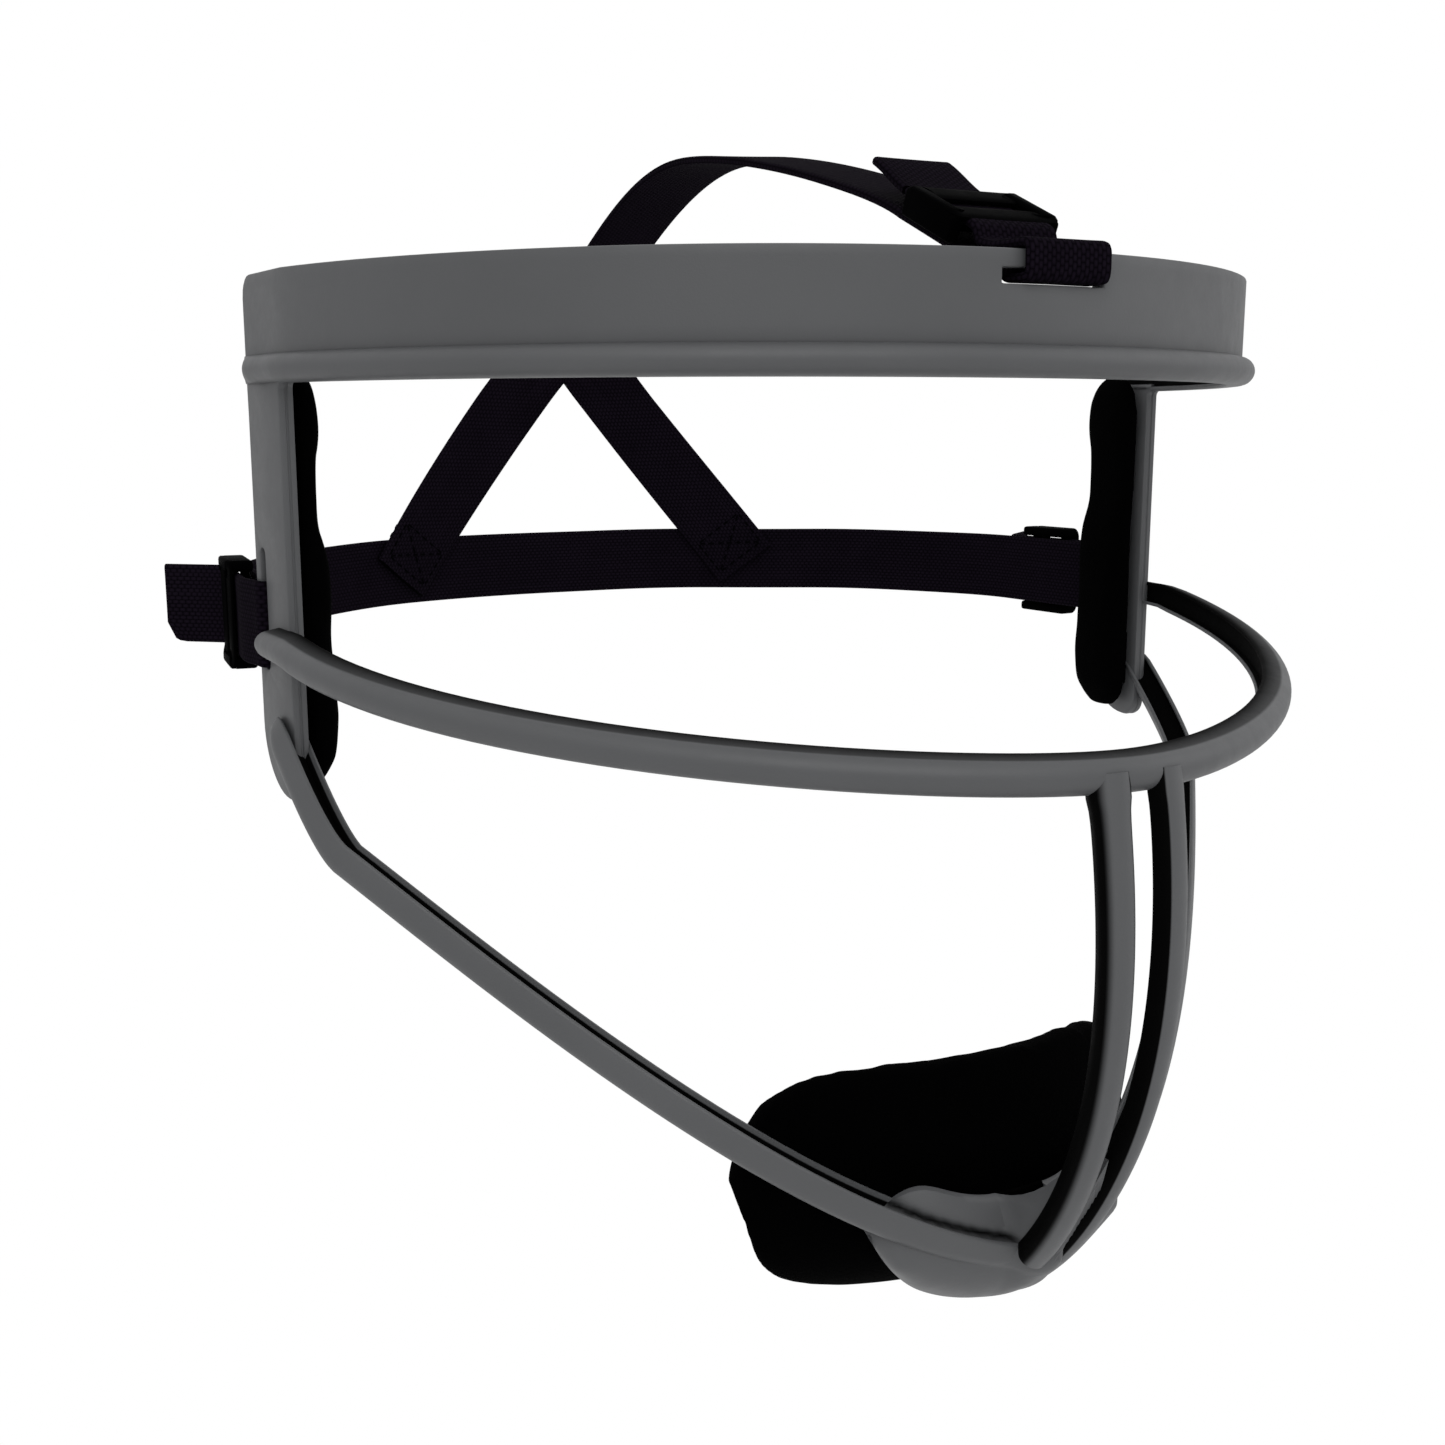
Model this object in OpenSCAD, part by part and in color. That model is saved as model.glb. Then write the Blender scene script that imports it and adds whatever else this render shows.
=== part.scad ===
// Fielder's face mask for softball: a moulded open-face guard with pads and a webbing harness.
// Origin: middle of the head opening, level with the underside of the brow rail.
// +X is the wearer's left, -Y the front of the mask, +Z up. Millimetres.

/* [Forehead band] */
// Radius of the band's outer face across the forehead
band_front_r = 92.8; // [90:0.2:96]
// Distance of the forehead arc's centre behind the origin
band_front_y = 6; // [2:0.5:10]
// Radius of the band's outer face over the temples
band_temple_r = 131; // [120:1:145]
// Angle at which the forehead arc hands over to the temple arc
band_front_angle = 45; // [40:1:50]
// Heading of the temple arc where the side wall starts
band_temple_angle = 74; // [71:1:76]
// Outward lean of the straight side wall, as a heading
side_heading = 84.5; // [82:0.5:87]
// Length of the straight side wall, front to back
side_length = 21; // [19:0.5:24]
// Wall thickness of the band and the uprights
wall = 2.8; // [2.4:0.1:3.4]
// Height of the band's top edge above the rail's underside
band_top = 19.1; // [18:0.1:26]
// Corner radius at the band's rear top corners
band_corner_r = 4; // [2:0.5:6]

/* [Brow rail] */
// Height of the rail
rail_h = 5; // [4:0.25:6.5]
// How far the rail stands proud of the band
rail_proud = 2.4; // [1.5:0.1:3.5]

/* [Crown strap slot] */
// Width of the slot in the band
crown_slot_w = 19.6; // [18:0.2:24]
// Height of the slot
crown_slot_h = 2.4; // [2.2:0.1:3]
// Height of the lip left above the slot
crown_lip_h = 2.8; // [2.4:0.2:5]

/* [Uprights] */
// Height of the upright below the rail's underside
upright_h = 75; // [70:1:82]
// Setback of the upright's front edge behind the start of the side wall
upright_front = 3.4; // [2:0.2:5]
// Corner radius at the lower rear corner
upright_rear_r = 13; // [8:0.5:16]
// Corner radius at the lower front corner
upright_front_r = 4; // [2:0.5:6]
// Width of the slot for the back strap
strap_slot_w = 2.8; // [2.4:0.1:3.4]
// Height of the slot for the back strap
strap_slot_h = 22.4; // [20:0.4:25]
// Width of the post left behind the slot
slot_post_w = 2.8; // [2.2:0.1:4]

/* [Bars] */
// Height of a bar's section, across the wearer's line of sight
bar_w = 5.7; // [5.2:0.1:6.6]
// Depth of a bar's section, from its inner face to its round front
bar_d = 5.8; // [5:0.1:6.6]
// Width of the sunk channel in a bar's inner face
channel_w = 3.8; // [2.6:0.1:4.2]
// Depth of the sunk channel
channel_d = 1; // [0.4:0.1:1.4]
// Width of a centre bar's section at the chin
centre_bar_w = 5; // [4.2:0.1:5.4]
// Depth of a centre bar's section at the chin
centre_bar_d = 4.5; // [4:0.1:5.4]
// Distance of each centre bar from the middle, at its top
centre_bar_x = 5.6; // [4.8:0.1:7]
// Height of the cheek bar where it leaves the uprights
cheek_z = -46.8; // [-52:0.2:-43]
// Drop of the cheek bar from the uprights to its middle
cheek_drop = 11.2; // [8:0.1:14]
// Reach of the cheek bar in front of the origin
cheek_reach = 109; // [104:0.5:112]
// Height of the jaw bars where they meet at the chin
chin_z = -144.5; // [-148:0.5:-140]
// Reach of the jaw bars in front of the origin
chin_reach = 87; // [84:0.5:90]

/* [Chin plate] */
// Half length of the leaf-shaped plate
plate_half = 29; // [26:0.5:33]
// Thickness of the plate
plate_t = 2.6; // [2:0.1:3.2]

/* [Pads] */
// Thickness of the forehead pad
forehead_pad_t = 6.5; // [5:0.5:9]
// Height of the forehead pad
forehead_pad_h = 12.2; // [10:0.2:12.6]
// Thickness of a side pad at its fullest lobe
side_pad_t = 6.4; // [5:0.2:8]
// Depth of a side pad from front to back
side_pad_w = 17; // [14:0.5:17.5]
// Thickness of the chin pad
chin_pad_t = 7; // [6:0.5:9]
// Half length of the chin pad
chin_pad_half = 42.5; // [40:0.5:45]
// Thickness of the hook tape behind every pad
tape_t = 0.7; // [0.5:0.1:1]

/* [Harness] */
// Width of the webbing
web_w = 16; // [14:0.5:17]
// Thickness of the webbing
web_t = 1.5; // [1.2:0.1:1.8]
// Height of the webbing's middle at the slots and round the back
strap_z = -43.6; // [-46:0.2:-41]
// Heading of the doubled webbing behind an upright
web_heading = 95; // [92:0.5:97]
// Reach of the back strap behind the origin
back_reach = 116; // [110:1:124]
// Highest point of the crown strap above the rail's underside
crown_z = 46.8; // [45:0.2:54]
// Rise of the doubled crown strap behind the band
crown_rise = 23.5; // [21:0.5:27]
// Length of a side strap's free tail
side_tail = 15.5; // [12:0.5:24]
// Angle by which a side tail stands away from the strap
side_tail_angle = 56; // [40:1:65]
// Length of the crown strap's free tail
crown_tail_len = 11; // [9:0.5:16]
// Angle by which the crown tail stands up from the strap
crown_tail_angle = 5; // [4:1:20]

/* [Buckles] */
// Length of a slide buckle along the webbing
buckle_l = 16; // [15:0.5:18]
// Thickness of a slide buckle's bars
buckle_bar = 1.8; // [1.6:0.1:2.4]
// Width of a slide buckle's side rails
buckle_rail = 2.3; // [1.8:0.1:3]
// Gap from the start of the doubled webbing to a side buckle at rest
buckle_gap = 11; // [8:0.5:14]
// Gap from the start of the doubled crown strap to its buckle at rest
crown_buckle_gap = 5.5; // [4:0.5:8]
// Travel of a slide buckle back along the doubled webbing
buckle_travel = 3; // [2:0.5:5]

/* [Hidden] */

// clearance between pieces that touch, and the overlap where moulded members are fused
fit = 0.3;
fuse = 0.6;
// clearance under a tape pressed on the frame
seat = 0.1;
frame_grey = "#5e6062";
pad_black = "#0b0b0c";
web_black = "#1c181f";
buckle_black = "#101012";

// ---------- curves ----------
function bez(p, t) = pow(1 - t, 3) * p[0] + 3 * t * pow(1 - t, 2) * p[1]
    + 3 * t * t * (1 - t) * p[2] + pow(t, 3) * p[3];
function bez_d(p, t) = 3 * pow(1 - t, 2) * (p[1] - p[0]) + 6 * t * (1 - t) * (p[2] - p[1])
    + 3 * t * t * (p[3] - p[2]);
function unit(v) = v / norm(v);
function across(v, t) = unit(v - (v * t) * t);
function flip_x(list) = [for (p = list) [-p[0], p[1], p[2]]];
function reversed(list) = [for (i = [len(list) - 1:-1:0]) list[i]];
// points of a path and headings of its runs, for ribbons of webbing seen edge on
function normal_at(path, i) = let (
    a = path[max(i - 1, 0)],
    b = path[min(i + 1, len(path) - 1)],
    d = unit(b - a)
) [-d[1], d[0]];
function offset_path(path, d) = [for (i = [0:len(path) - 1]) path[i] + d * normal_at(path, i)];

// solid through a list of rings with the same number of points
module loft(rings) {
    n = len(rings[0]);
    m = len(rings);
    polyhedron(
        points = [for (r = rings) each r],
        faces = concat(
            [[for (i = [0:n - 1]) i]],
            [[for (i = [n - 1:-1:0]) (m - 1) * n + i]],
            [for (k = [0:m - 2], i = [0:n - 1])
                each let (j = (i + 1) % n, a = k * n, b = a + n)
                    [[a + i, b + i, b + j], [a + i, b + j, a + j]]]
        ),
        convexity = 8
    );
}

// ribbon of webbing: a path in plan, given thickness across it and a height along z
module ribbon(path, thick, height) {
    linear_extrude(height = height, center = true)
        polygon(concat(offset_path(path, thick / 2), reversed(offset_path(path, -thick / 2))));
}

// ---------- plan of the band ----------
temple_start = [0, band_front_y] + band_front_r * [sin(band_front_angle), -cos(band_front_angle)];
temple_c = temple_start - band_temple_r * [sin(band_front_angle), -cos(band_front_angle)];
side_start = temple_c + band_temple_r * [sin(band_temple_angle), -cos(band_temple_angle)];
side_dir = [cos(side_heading), sin(side_heading)];
side_out = [sin(side_heading), -cos(side_heading)];
side_end = side_start + side_length * side_dir;

// right half of an outline that runs d outside the band's outer face, middle to rear end
function half_plan(d) = concat(
    [for (a = [0:5:band_front_angle])
        [0, band_front_y] + (band_front_r + d) * [sin(a), -cos(a)]],
    [for (a = [band_front_angle + 4:5:band_temple_angle - 2])
        temple_c + (band_temple_r + d) * [sin(a), -cos(a)]],
    [side_start + d * side_out, side_end + d * side_out]
);
function mirrored_plan(list) = concat(
    reversed([for (i = [1:len(list) - 1]) [-list[i][0], list[i][1]]]), list);
function plan(d) = mirrored_plan(half_plan(d));

module wall_plan(outer, inner) {
    polygon(concat(plan(outer), reversed(plan(inner))));
}

crown_slot_z = band_top - crown_lip_h - crown_slot_h / 2;
// middle of the band's wall at the front
lip_y = -band_front_r + band_front_y + wall / 2;

module forehead_band() {
    color(frame_grey)
    difference() {
        translate([0, 0, rail_h - fuse])
            linear_extrude(height = band_top - rail_h + fuse)
                wall_plan(0, -wall);
        translate([0, lip_y, crown_slot_z])
            cube([crown_slot_w, 4 * wall, crown_slot_h], center = true);
        for (side = [-1, 1])
            translate([side * side_end[0], side_end[1], band_top])
                corner_cut();
    }
}

// rounds the band's top corner at its rear end, seen from the side
module corner_cut() {
    rotate([90, 0, 90])
        linear_extrude(height = 8 * wall, center = true)
            difference() {
                translate([-band_corner_r, -band_corner_r])
                    square(2 * band_corner_r);
                translate([-band_corner_r, -band_corner_r])
                    circle(r = band_corner_r, $fn = 32);
            }
}

// section of the rail: round outside, flat inside. [out, up]
rail_r = rail_h / 2;
rail_channel_h = rail_h / 2;
rail_section = concat(
    [for (a = [-90:22.5:90])
        [rail_proud - rail_r + rail_r * cos(a), rail_r + rail_r * sin(a)]],
    [[-wall, rail_h], [-wall, 0]]
);
// the rail stands less proud at its rear ends
rail_end_share = 0.2;
function rail_half(d) = let (p = half_plan(d), last = len(p) - 1)
    [for (i = [0:last]) i < last ? p[i] : side_end + min(d, d * rail_end_share) * side_out];

module brow_rail() {
    runs = [for (s = rail_section) mirrored_plan(rail_half(s[0]))];
    color(frame_grey)
        difference() {
            loft(reversed([for (i = [0:len(runs[0]) - 1])
                [for (k = [0:len(rail_section) - 1])
                    [runs[k][i][0], runs[k][i][1], rail_section[k][1]]]]));
            translate([0, 0, (rail_h - rail_channel_h) / 2])
                linear_extrude(height = rail_channel_h)
                    wall_plan(channel_d - wall, -2 * wall);
        }
}

// ---------- uprights ----------
// places its children so that x runs back along the side wall's outer face and y points up
module on_side_wall() {
    translate([side_start[0], side_start[1], 0])
        rotate([90, 0, side_heading])
            children();
}

slot_x = side_length - slot_post_w - strap_slot_w / 2;
// the webbing rests on the slot's lower end
slot_z = strap_z - web_w / 2 - fit + strap_slot_h / 2;

module upright_outline() {
    difference() {
        hull() {
            translate([upright_front, -fuse])
                square([side_length - upright_front, 2 * fuse]);
            translate([side_length - upright_rear_r, -upright_h + upright_rear_r])
                circle(r = upright_rear_r, $fn = 48);
            translate([upright_front + upright_front_r, -upright_h + upright_front_r])
                circle(r = upright_front_r, $fn = 32);
        }
        hull()
            for (dz = [-1, 1])
                translate([slot_x, slot_z + dz * (strap_slot_h - strap_slot_w) / 2])
                    circle(d = strap_slot_w, $fn = 24);
    }
}

module upright(side) {
    color(frame_grey)
        mirror([side < 0 ? 1 : 0, 0, 0])
            on_side_wall()
                translate([0, 0, -wall])
                    linear_extrude(height = wall)
                        upright_outline();
}
module upright_right() { upright(-1); }
module upright_left() { upright(1); }

// ---------- bars ----------
// section of a bar: round front, flat inner face with a sunk channel. [out, across]
function bar_section(w, d) = concat(
    [for (a = [-90:22.5:90]) [d / 2 - w / 2 + w / 2 * cos(a), w / 2 * sin(a)]],
    [
        [-d / 2 + w * 0.08, w / 2],
        [-d / 2, w * 0.42],
        [-d / 2, channel_w / w * w / 2],
        [-d / 2 + channel_d, channel_w / 2 - channel_d / 2],
        [-d / 2 + channel_d, -channel_w / 2 + channel_d / 2],
        [-d / 2, -channel_w / 2],
        [-d / 2, -w * 0.42],
        [-d / 2 + w * 0.08, -w / 2]
    ]
);
function ring_at(p, t, out, section) = let (o = across(out, t), s = cross(t, o))
    [for (q = section) p + q[0] * o + q[1] * s];

bar_on_side = side_start[0] + bar_d / 2 - wall * 0.55;
cheek_side = [
    [bar_on_side + 1.2, side_start[1] + 14, cheek_z + 0.6],
    [bar_on_side + 1, side_start[1] + 12, cheek_z + 0.6]
];
cheek_mid_z = cheek_z - cheek_drop;
cheek_curve = [
    [bar_on_side + 0.3, side_start[1] - 2, cheek_z + 0.2],
    [bar_on_side - 4.9, -cheek_reach * 0.555, cheek_z - cheek_drop * 0.79],
    [31.5, -cheek_reach, cheek_mid_z],
    [0, -cheek_reach, cheek_mid_z]
];
function cheek_half(n) = concat(cheek_side, [for (i = [0:n]) bez(cheek_curve, i / n)]);
// share of the full section at each end of a bar that rounds off on an upright
bar_end_share = 0.55;
function scaled(section, k) = [for (q = section) k * q];
module cheek_bar() {
    half = cheek_half(16);
    path = concat(half, reversed(flip_x([for (i = [0:len(half) - 2]) half[i]])));
    last = len(path) - 1;
    section = bar_section(bar_w, bar_d);
    color(frame_grey)
        loft([for (i = [0:last])
            let (t = unit(path[min(i + 1, last)] - path[max(i - 1, 0)]),
                k = i == 0 || i == last ? bar_end_share : 1)
            ring_at(path[i], t, [path[i][0], path[i][1], 0], scaled(section, k))]);
}

centre_curve = [
    [centre_bar_x, -cheek_reach - 2, cheek_mid_z + 0.5],
    [centre_bar_x, -cheek_reach - 8.5, cheek_mid_z - 28],
    [centre_bar_x * 0.75, -cheek_reach - 4, chin_z + 25],
    [centre_bar_w / 2 + fit, -chin_reach - 6, chin_z + 1.5]
];
// share by which a centre bar is wider at the cheek bar
centre_bar_flare = 0.08;
centre_section = [for (q = bar_section(bar_w, centre_bar_d)) [q[0], q[1] * centre_bar_w / bar_w]];
module centre_bar(side) {
    steps = 14;
    color(frame_grey)
        mirror([side < 0 ? 1 : 0, 0, 0])
            loft([for (i = [0:steps])
                let (f = i / steps, t = unit(bez_d(centre_curve, f)))
                ring_at(bez(centre_curve, f), t, [0, -1, 0],
                    scaled(centre_section, 1 + centre_bar_flare * (1 - f)))]);
}
module centre_bar_right() { centre_bar(-1); }
module centre_bar_left() { centre_bar(1); }

// the jaw bars leave the uprights steeply, turn at a knee and run nearly straight to the chin
jaw_top = [bar_on_side, side_start[1] + 11, -upright_h + 14.4];
jaw_knee = [bar_on_side - 4.8, side_start[1] - 14.3, -upright_h - 6.5];
jaw_bend = [
    jaw_top,
    jaw_top + [-0.4, -7.4, -5.6],
    jaw_knee + [2.6, 4.1, 3.2],
    jaw_knee
];
jaw_nose = chin_reach + 1;
jaw_run = [
    jaw_knee,
    jaw_knee + [-20.7, -24.2, -19.1],
    [35.4, -jaw_nose, chin_z + 5.2],
    [0, -jaw_nose, chin_z]
];
// the round side of a jaw bar looks out and down, its channel up and in
jaw_out = [0.485, 0.242, -0.84];
module jaw_bar(side) {
    bend_steps = 7;
    run_steps = 14;
    bend = [for (i = [0:bend_steps - 1]) bez(jaw_bend, i / bend_steps)];
    path = concat(bend, [for (i = [0:run_steps]) bez(jaw_run, i / run_steps)]);
    last = len(path) - 1;
    color(frame_grey)
        mirror([side < 0 ? 1 : 0, 0, 0])
            loft([for (i = [0:last])
                let (t = i == last ? [-1, 0, 0] : unit(path[i + 1] - path[max(i - 1, 0)]),
                    k = min(1, bar_end_share + i * 0.15))
                ring_at(path[i], t, jaw_out, scaled(bar_section(bar_w, bar_d), k))]);
}
module jaw_bar_right() { jaw_bar(-1); }
module jaw_bar_left() { jaw_bar(1); }

// ---------- chin plate and chin pad ----------
// how the chin forms run back from the middle with distance from it
function jaw_back(x) = 0.011 * x * x;
// the plate's top edge: a web between the centre bars, a leaf on each side, and round ends
function plate_web(s) = pow(max(0, 1 - abs(s) / 0.34), 1.3);
function plate_top(s) = let (x = plate_half * s, web = plate_web(s))
    [x, -chin_reach + 0.6 + jaw_back(x) - 17 * web,
        chin_z + 11.3 + 11 * web + 2.3 * exp(-pow((abs(s) - 0.65) / 0.19, 2)) - 8 * pow(abs(s), 10)];
function plate_mid(s) = let (x = plate_half * s, e = 1 - abs(s))
    [x, -chin_reach - 7 + jaw_back(x) - 5 * e * e, chin_z - 7 * (1 - s * s)];
// height of the plate's ends over the jaw bars' meeting point
plate_tip_rise = 4.3;
function plate_low(s) = let (x = plate_half * s)
    [x, -chin_reach + 13 - 8 * s * s, chin_z + min(plate_tip_rise, 22.5 * pow(abs(s), 2.25) - 14.4)];
function plate_at(s, f) = pow(1 - f, 2) * plate_top(s) + 2 * f * (1 - f) * plate_mid(s)
    + f * f * plate_low(s);

// closed shell over a grid of points, given thickness towards a point inside the head
module shell_grid(rows, thick, centre) {
    n = len(rows[0]);
    outer = rows;
    inner = [for (r = rows) [for (p = r) p + thick * unit(centre - p)]];
    loft([for (k = [0:len(rows) - 1]) concat(outer[k], reversed(inner[k]))]);
}
plate_focus = [0, -45, -118];
module chin_plate() {
    cols = 16;
    depth = 7;
    color(frame_grey)
        shell_grid([for (i = [0:cols])
            let (s = -1 + 2 * i / cols)
            [for (k = [0:depth]) plate_at(0.985 * s, k / depth)]], plate_t, plate_focus);
}

// the chin pad's outline: height of its top and low edges against distance from the middle
chin_pad_drop = 12.4;
// how far the pad's front lies behind the jaw bars' own reach
chin_pad_back = 5.9;
function pad_top_z(s) = chin_z + 31.6 - 3.2 * pow(abs(s), 1.5) - 13 * pow(abs(s), 6)
    - 9 * pow(abs(s), 18);
function pad_low_z(s) = chin_z - chin_pad_drop + 8 * pow(abs(s), 4) + 10 * pow(abs(s), 12);
// how the pad's front face leans back above and below the jaw bars
pad_fold_z = chin_z + 4.5;
function pad_lean(z) = 13.5 * pow(max(0, (pad_fold_z - z) / 18.5), 2)
    + 1.3 * pow(max(0, (z - pad_fold_z - 15) / 15), 2);
pad_front = -chin_reach + chin_pad_back;
function pad_at(s, f) = let (x = chin_pad_half * s, z = pad_top_z(s) * (1 - f) + pad_low_z(s) * f)
    [x, pad_front + (0.0115 - 0.003 * f) * x * x + pad_lean(z), z];
module chin_pad_layer(shift, thick, reach, from, to) {
    cols = 18;
    depth = 8;
    color(pad_black)
        shell_grid([for (i = [0:cols])
            let (s = reach * (-1 + 2 * i / cols))
            [for (k = [0:depth]) pad_at(s, from + (to - from) * k / depth) + [0, shift, 0]]],
            thick, pad_focus);
}
pad_focus = [0, 20, -118];
module chin_pad() { chin_pad_layer(0, chin_pad_t, 1, 0, 1); }
module chin_pad_tape() { chin_pad_layer(-tape_t - fit, tape_t, 0.3, 0.55, 0.75); }

// ---------- forehead pad and side pads ----------
module pad_arc(outer, inner, z0, h) {
    translate([0, 0, z0])
        linear_extrude(height = h)
            intersection() {
                wall_plan(outer, inner);
                translate([-band_front_r, -2 * band_front_r])
                    square([2 * band_front_r, 2 * band_front_r + side_start[1] - 3]);
            }
}
// every tape lies on the frame, and its pad clears it
pad_gap = wall + seat + tape_t + fit;
forehead_pad_low = 1.2;
module forehead_pad() {
    color(pad_black)
        pad_arc(-pad_gap, -pad_gap - forehead_pad_t, forehead_pad_low, forehead_pad_h);
}
module forehead_pad_tape() {
    color(pad_black)
        pad_arc(-wall - seat, -wall - seat - tape_t,
            forehead_pad_low + forehead_pad_h / 5, forehead_pad_h * 0.6);
}

// share of a side pad's thickness against height, in upright heights: lobes with necks between
side_pad_lobes = [
    [-1.02, 0.2], [-0.96, 0.6], [-0.89, 0.92], [-0.8, 1], [-0.7, 0.9], [-0.61, 0.8],
    [-0.51, 0.86], [-0.41, 0.8], [-0.34, 0.52], [-0.27, 0.5], [-0.18, 0.54],
    [-0.11, 0.74], [-0.03, 0.72], [0.05, 0.5]
];
side_pad_top = rail_h - 1;
side_pad_low = -upright_h + 1;
// length over which the pad's ends narrow
side_pad_end = 9;
function end_taper(z) = let (e = min(side_pad_top - z, z - side_pad_low))
    e > side_pad_end ? 1 : sqrt(1 - pow(1 - e / side_pad_end, 2));
function side_pad_ring(z) = let (
    t = side_pad_t * lookup(z / upright_h, side_pad_lobes),
    half = side_pad_w / 2 * (0.15 + 0.85 * end_taper(z)),
    c = upright_front + fit + side_pad_w / 2
) [
    [c - half, 0], [c + half, 0], [c + half, t * 0.55], [c + half - t * 0.3, t * 0.9],
    [c + half * 0.4, t], [c - half * 0.4, t], [c - half + t * 0.3, t * 0.9], [c - half, t * 0.55]
];
function on_side(p, z) = let (q = side_start + p[0] * side_dir - (pad_gap + p[1]) * side_out)
    [q[0], q[1], z];
module side_pad(side) {
    n = 28;
    color(pad_black)
        mirror([side < 0 ? 1 : 0, 0, 0])
            difference() {
                loft([for (i = [0:n])
                    let (z = side_pad_low + (side_pad_top - side_pad_low) * i / n)
                    [for (p = side_pad_ring(z)) on_side(p, z)]]);
                strap_relief();
            }
}
module side_pad_right() { side_pad(-1); }
module side_pad_left() { side_pad(1); }

// room behind the pad for the webbing that leaves the slot
module strap_relief() {
    on_side_wall()
        translate([slot_x - web_t / 2 - fit, strap_z - web_w / 2 - fit, -wall - web_t - 2 * fit])
            cube([side_pad_w, web_w + 2 * fit, wall]);
}

module side_pad_tape(side) {
    patch = [side_pad_w * 0.4, 12];
    color(pad_black)
        mirror([side < 0 ? 1 : 0, 0, 0])
            on_side_wall()
                for (z = [-upright_h * 0.3, -upright_h * 0.9])
                    translate([upright_front + side_pad_w * 0.2, z, -wall - seat - tape_t])
                        cube([patch[0], patch[1], tape_t]);
}
module side_pad_tape_right() { side_pad_tape(-1); }
module side_pad_tape_left() { side_pad_tape(1); }

// ---------- harness ----------
// distance of each webbing layer's middle from the middle of the upright's wall
layer_n = wall / 2 + fit + web_t / 2;
slot_mid = side_start + slot_x * side_dir - wall / 2 * side_out;
// a point beside the slot: u back from the slot's middle, n outwards
function on_strap(u, n) = slot_mid + u * side_dir + n * side_out;
post_rear = strap_slot_w / 2 + slot_post_w;
// a point of the doubled webbing behind the post: u back along it, n outwards
post_step = [1.5, 0.9];
web_from = on_strap(post_rear + post_step[0], post_step[1]);
web_dir = [cos(web_heading), sin(web_heading)];
web_out = [sin(web_heading), -cos(web_heading)];
web_n = buckle_bar / 2 + fit + web_t / 2;
function on_web(u, n) = web_from + u * web_dir + n * web_out;
double_end = buckle_gap + buckle_l + buckle_travel + fit;
back_from = on_web(double_end, -web_n);
back_curve = [back_from, back_from + 22 * web_dir, [62, back_reach], [0, back_reach]];
function back_half(n) = [for (i = [0:n]) bez(back_curve, i / n)];
// rounds the post: start and end of each layer's step from the wall to the doubled webbing
step_from = post_rear - 0.3;
step_to = 3;
module back_strap() {
    half = concat(
        [on_strap(0, -layer_n), on_strap(step_from, -layer_n), on_web(step_to, -web_n)],
        back_half(18)
    );
    path = concat(half, reversed([for (i = [0:len(half) - 2]) [-half[i][0], half[i][1]]]));
    color(web_black)
        translate([0, 0, strap_z])
            ribbon(path, web_t, web_w);
}

module slot_loop(side) {
    half = web_t / 2;
    tail_from = double_end - fit;
    color(web_black)
        mirror([side < 0 ? 1 : 0, 0, 0])
            translate([0, 0, strap_z])
                linear_extrude(height = web_w, center = true)
                    polygon([
                        on_strap(-half, -layer_n - half),
                        on_strap(-half, layer_n + half),
                        on_strap(step_from, layer_n + half),
                        on_web(step_to, web_n + half),
                        on_web(tail_from, web_n + half),
                        on_web(tail_from, web_n - half),
                        on_web(step_to, web_n - half),
                        on_strap(step_from, layer_n - half),
                        on_strap(half, layer_n - half),
                        on_strap(half, -layer_n + half),
                        on_strap(half, -layer_n - half)
                    ]);
}
module slot_loop_right() { slot_loop(-1); }
module slot_loop_left() { slot_loop(1); }

// free tail beyond the doubled webbing, turning about a vertical line
tail_pivot = on_web(double_end + web_t / 2, web_n);
module side_tail(side) {
    color(web_black)
        mirror([side < 0 ? 1 : 0, 0, 0])
            translate([tail_pivot[0], tail_pivot[1], strap_z])
                rotate([0, 0, web_heading - side_tail_angle])
                    union() {
                        cylinder(d = web_t, h = web_w, center = true, $fn = 24);
                        rotate([90, 0, 0])
                            linear_extrude(height = web_t, center = true)
                                tail_outline(side_tail);
                    }
}
// flat shape of a tail, with its lower free corner rounded
module tail_outline(length) {
    corner = web_w / 4;
    difference() {
        translate([0, -web_w / 2])
            square([length, web_w]);
        translate([length - corner, -web_w / 2 + corner])
            mirror([0, 1])
                difference() {
                    square(corner + 1);
                    circle(r = corner, $fn = 32);
                }
    }
}
module side_tail_right() { side_tail(-1); }
module side_tail_left() { side_tail(1); }

// ---------- yoke: two legs sewn to the inner face of the back strap ----------
leg_top = 18.5;
leg_inner = [[0, leg_top], [0, 3], [44.5, strap_z - 6.4]];
leg_outer = [[web_w / 2, leg_top], [12, 13.5], [61, strap_z + 3.8]];
leg_speed = 170;
// a point of a leg: u round the back from the middle, height z, d inside the back strap's middle
function on_back(u, z, d) = let (
    f = 1 - u / leg_speed,
    p = bez(back_curve, f),
    t = unit(bez_d(back_curve, f)),
    lean = max(0, z) * 0.12
) [p[0] + d * -t[1], p[1] + d * t[0] - lean, z];
module yoke_leg(side) {
    steps = 10;
    uz = concat(
        [[leg_inner[0], leg_outer[0]]],
        [for (i = [0:steps])
            let (f = i / steps)
            [leg_inner[1] + (leg_inner[2] - leg_inner[1]) * f,
                leg_outer[1] + (leg_outer[2] - leg_outer[1]) * f]]
    );
    near = web_t / 2 + fit / 3;
    far = near + web_t;
    color(web_black)
        mirror([side < 0 ? 1 : 0, 0, 0])
            loft([for (q = uz) [
                on_back(q[0][0], q[0][1], near), on_back(q[1][0], q[1][1], near),
                on_back(q[1][0], q[1][1], far), on_back(q[0][0], q[0][1], far)
            ]]);
}
module yoke_leg_right() { yoke_leg(-1); }
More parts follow.
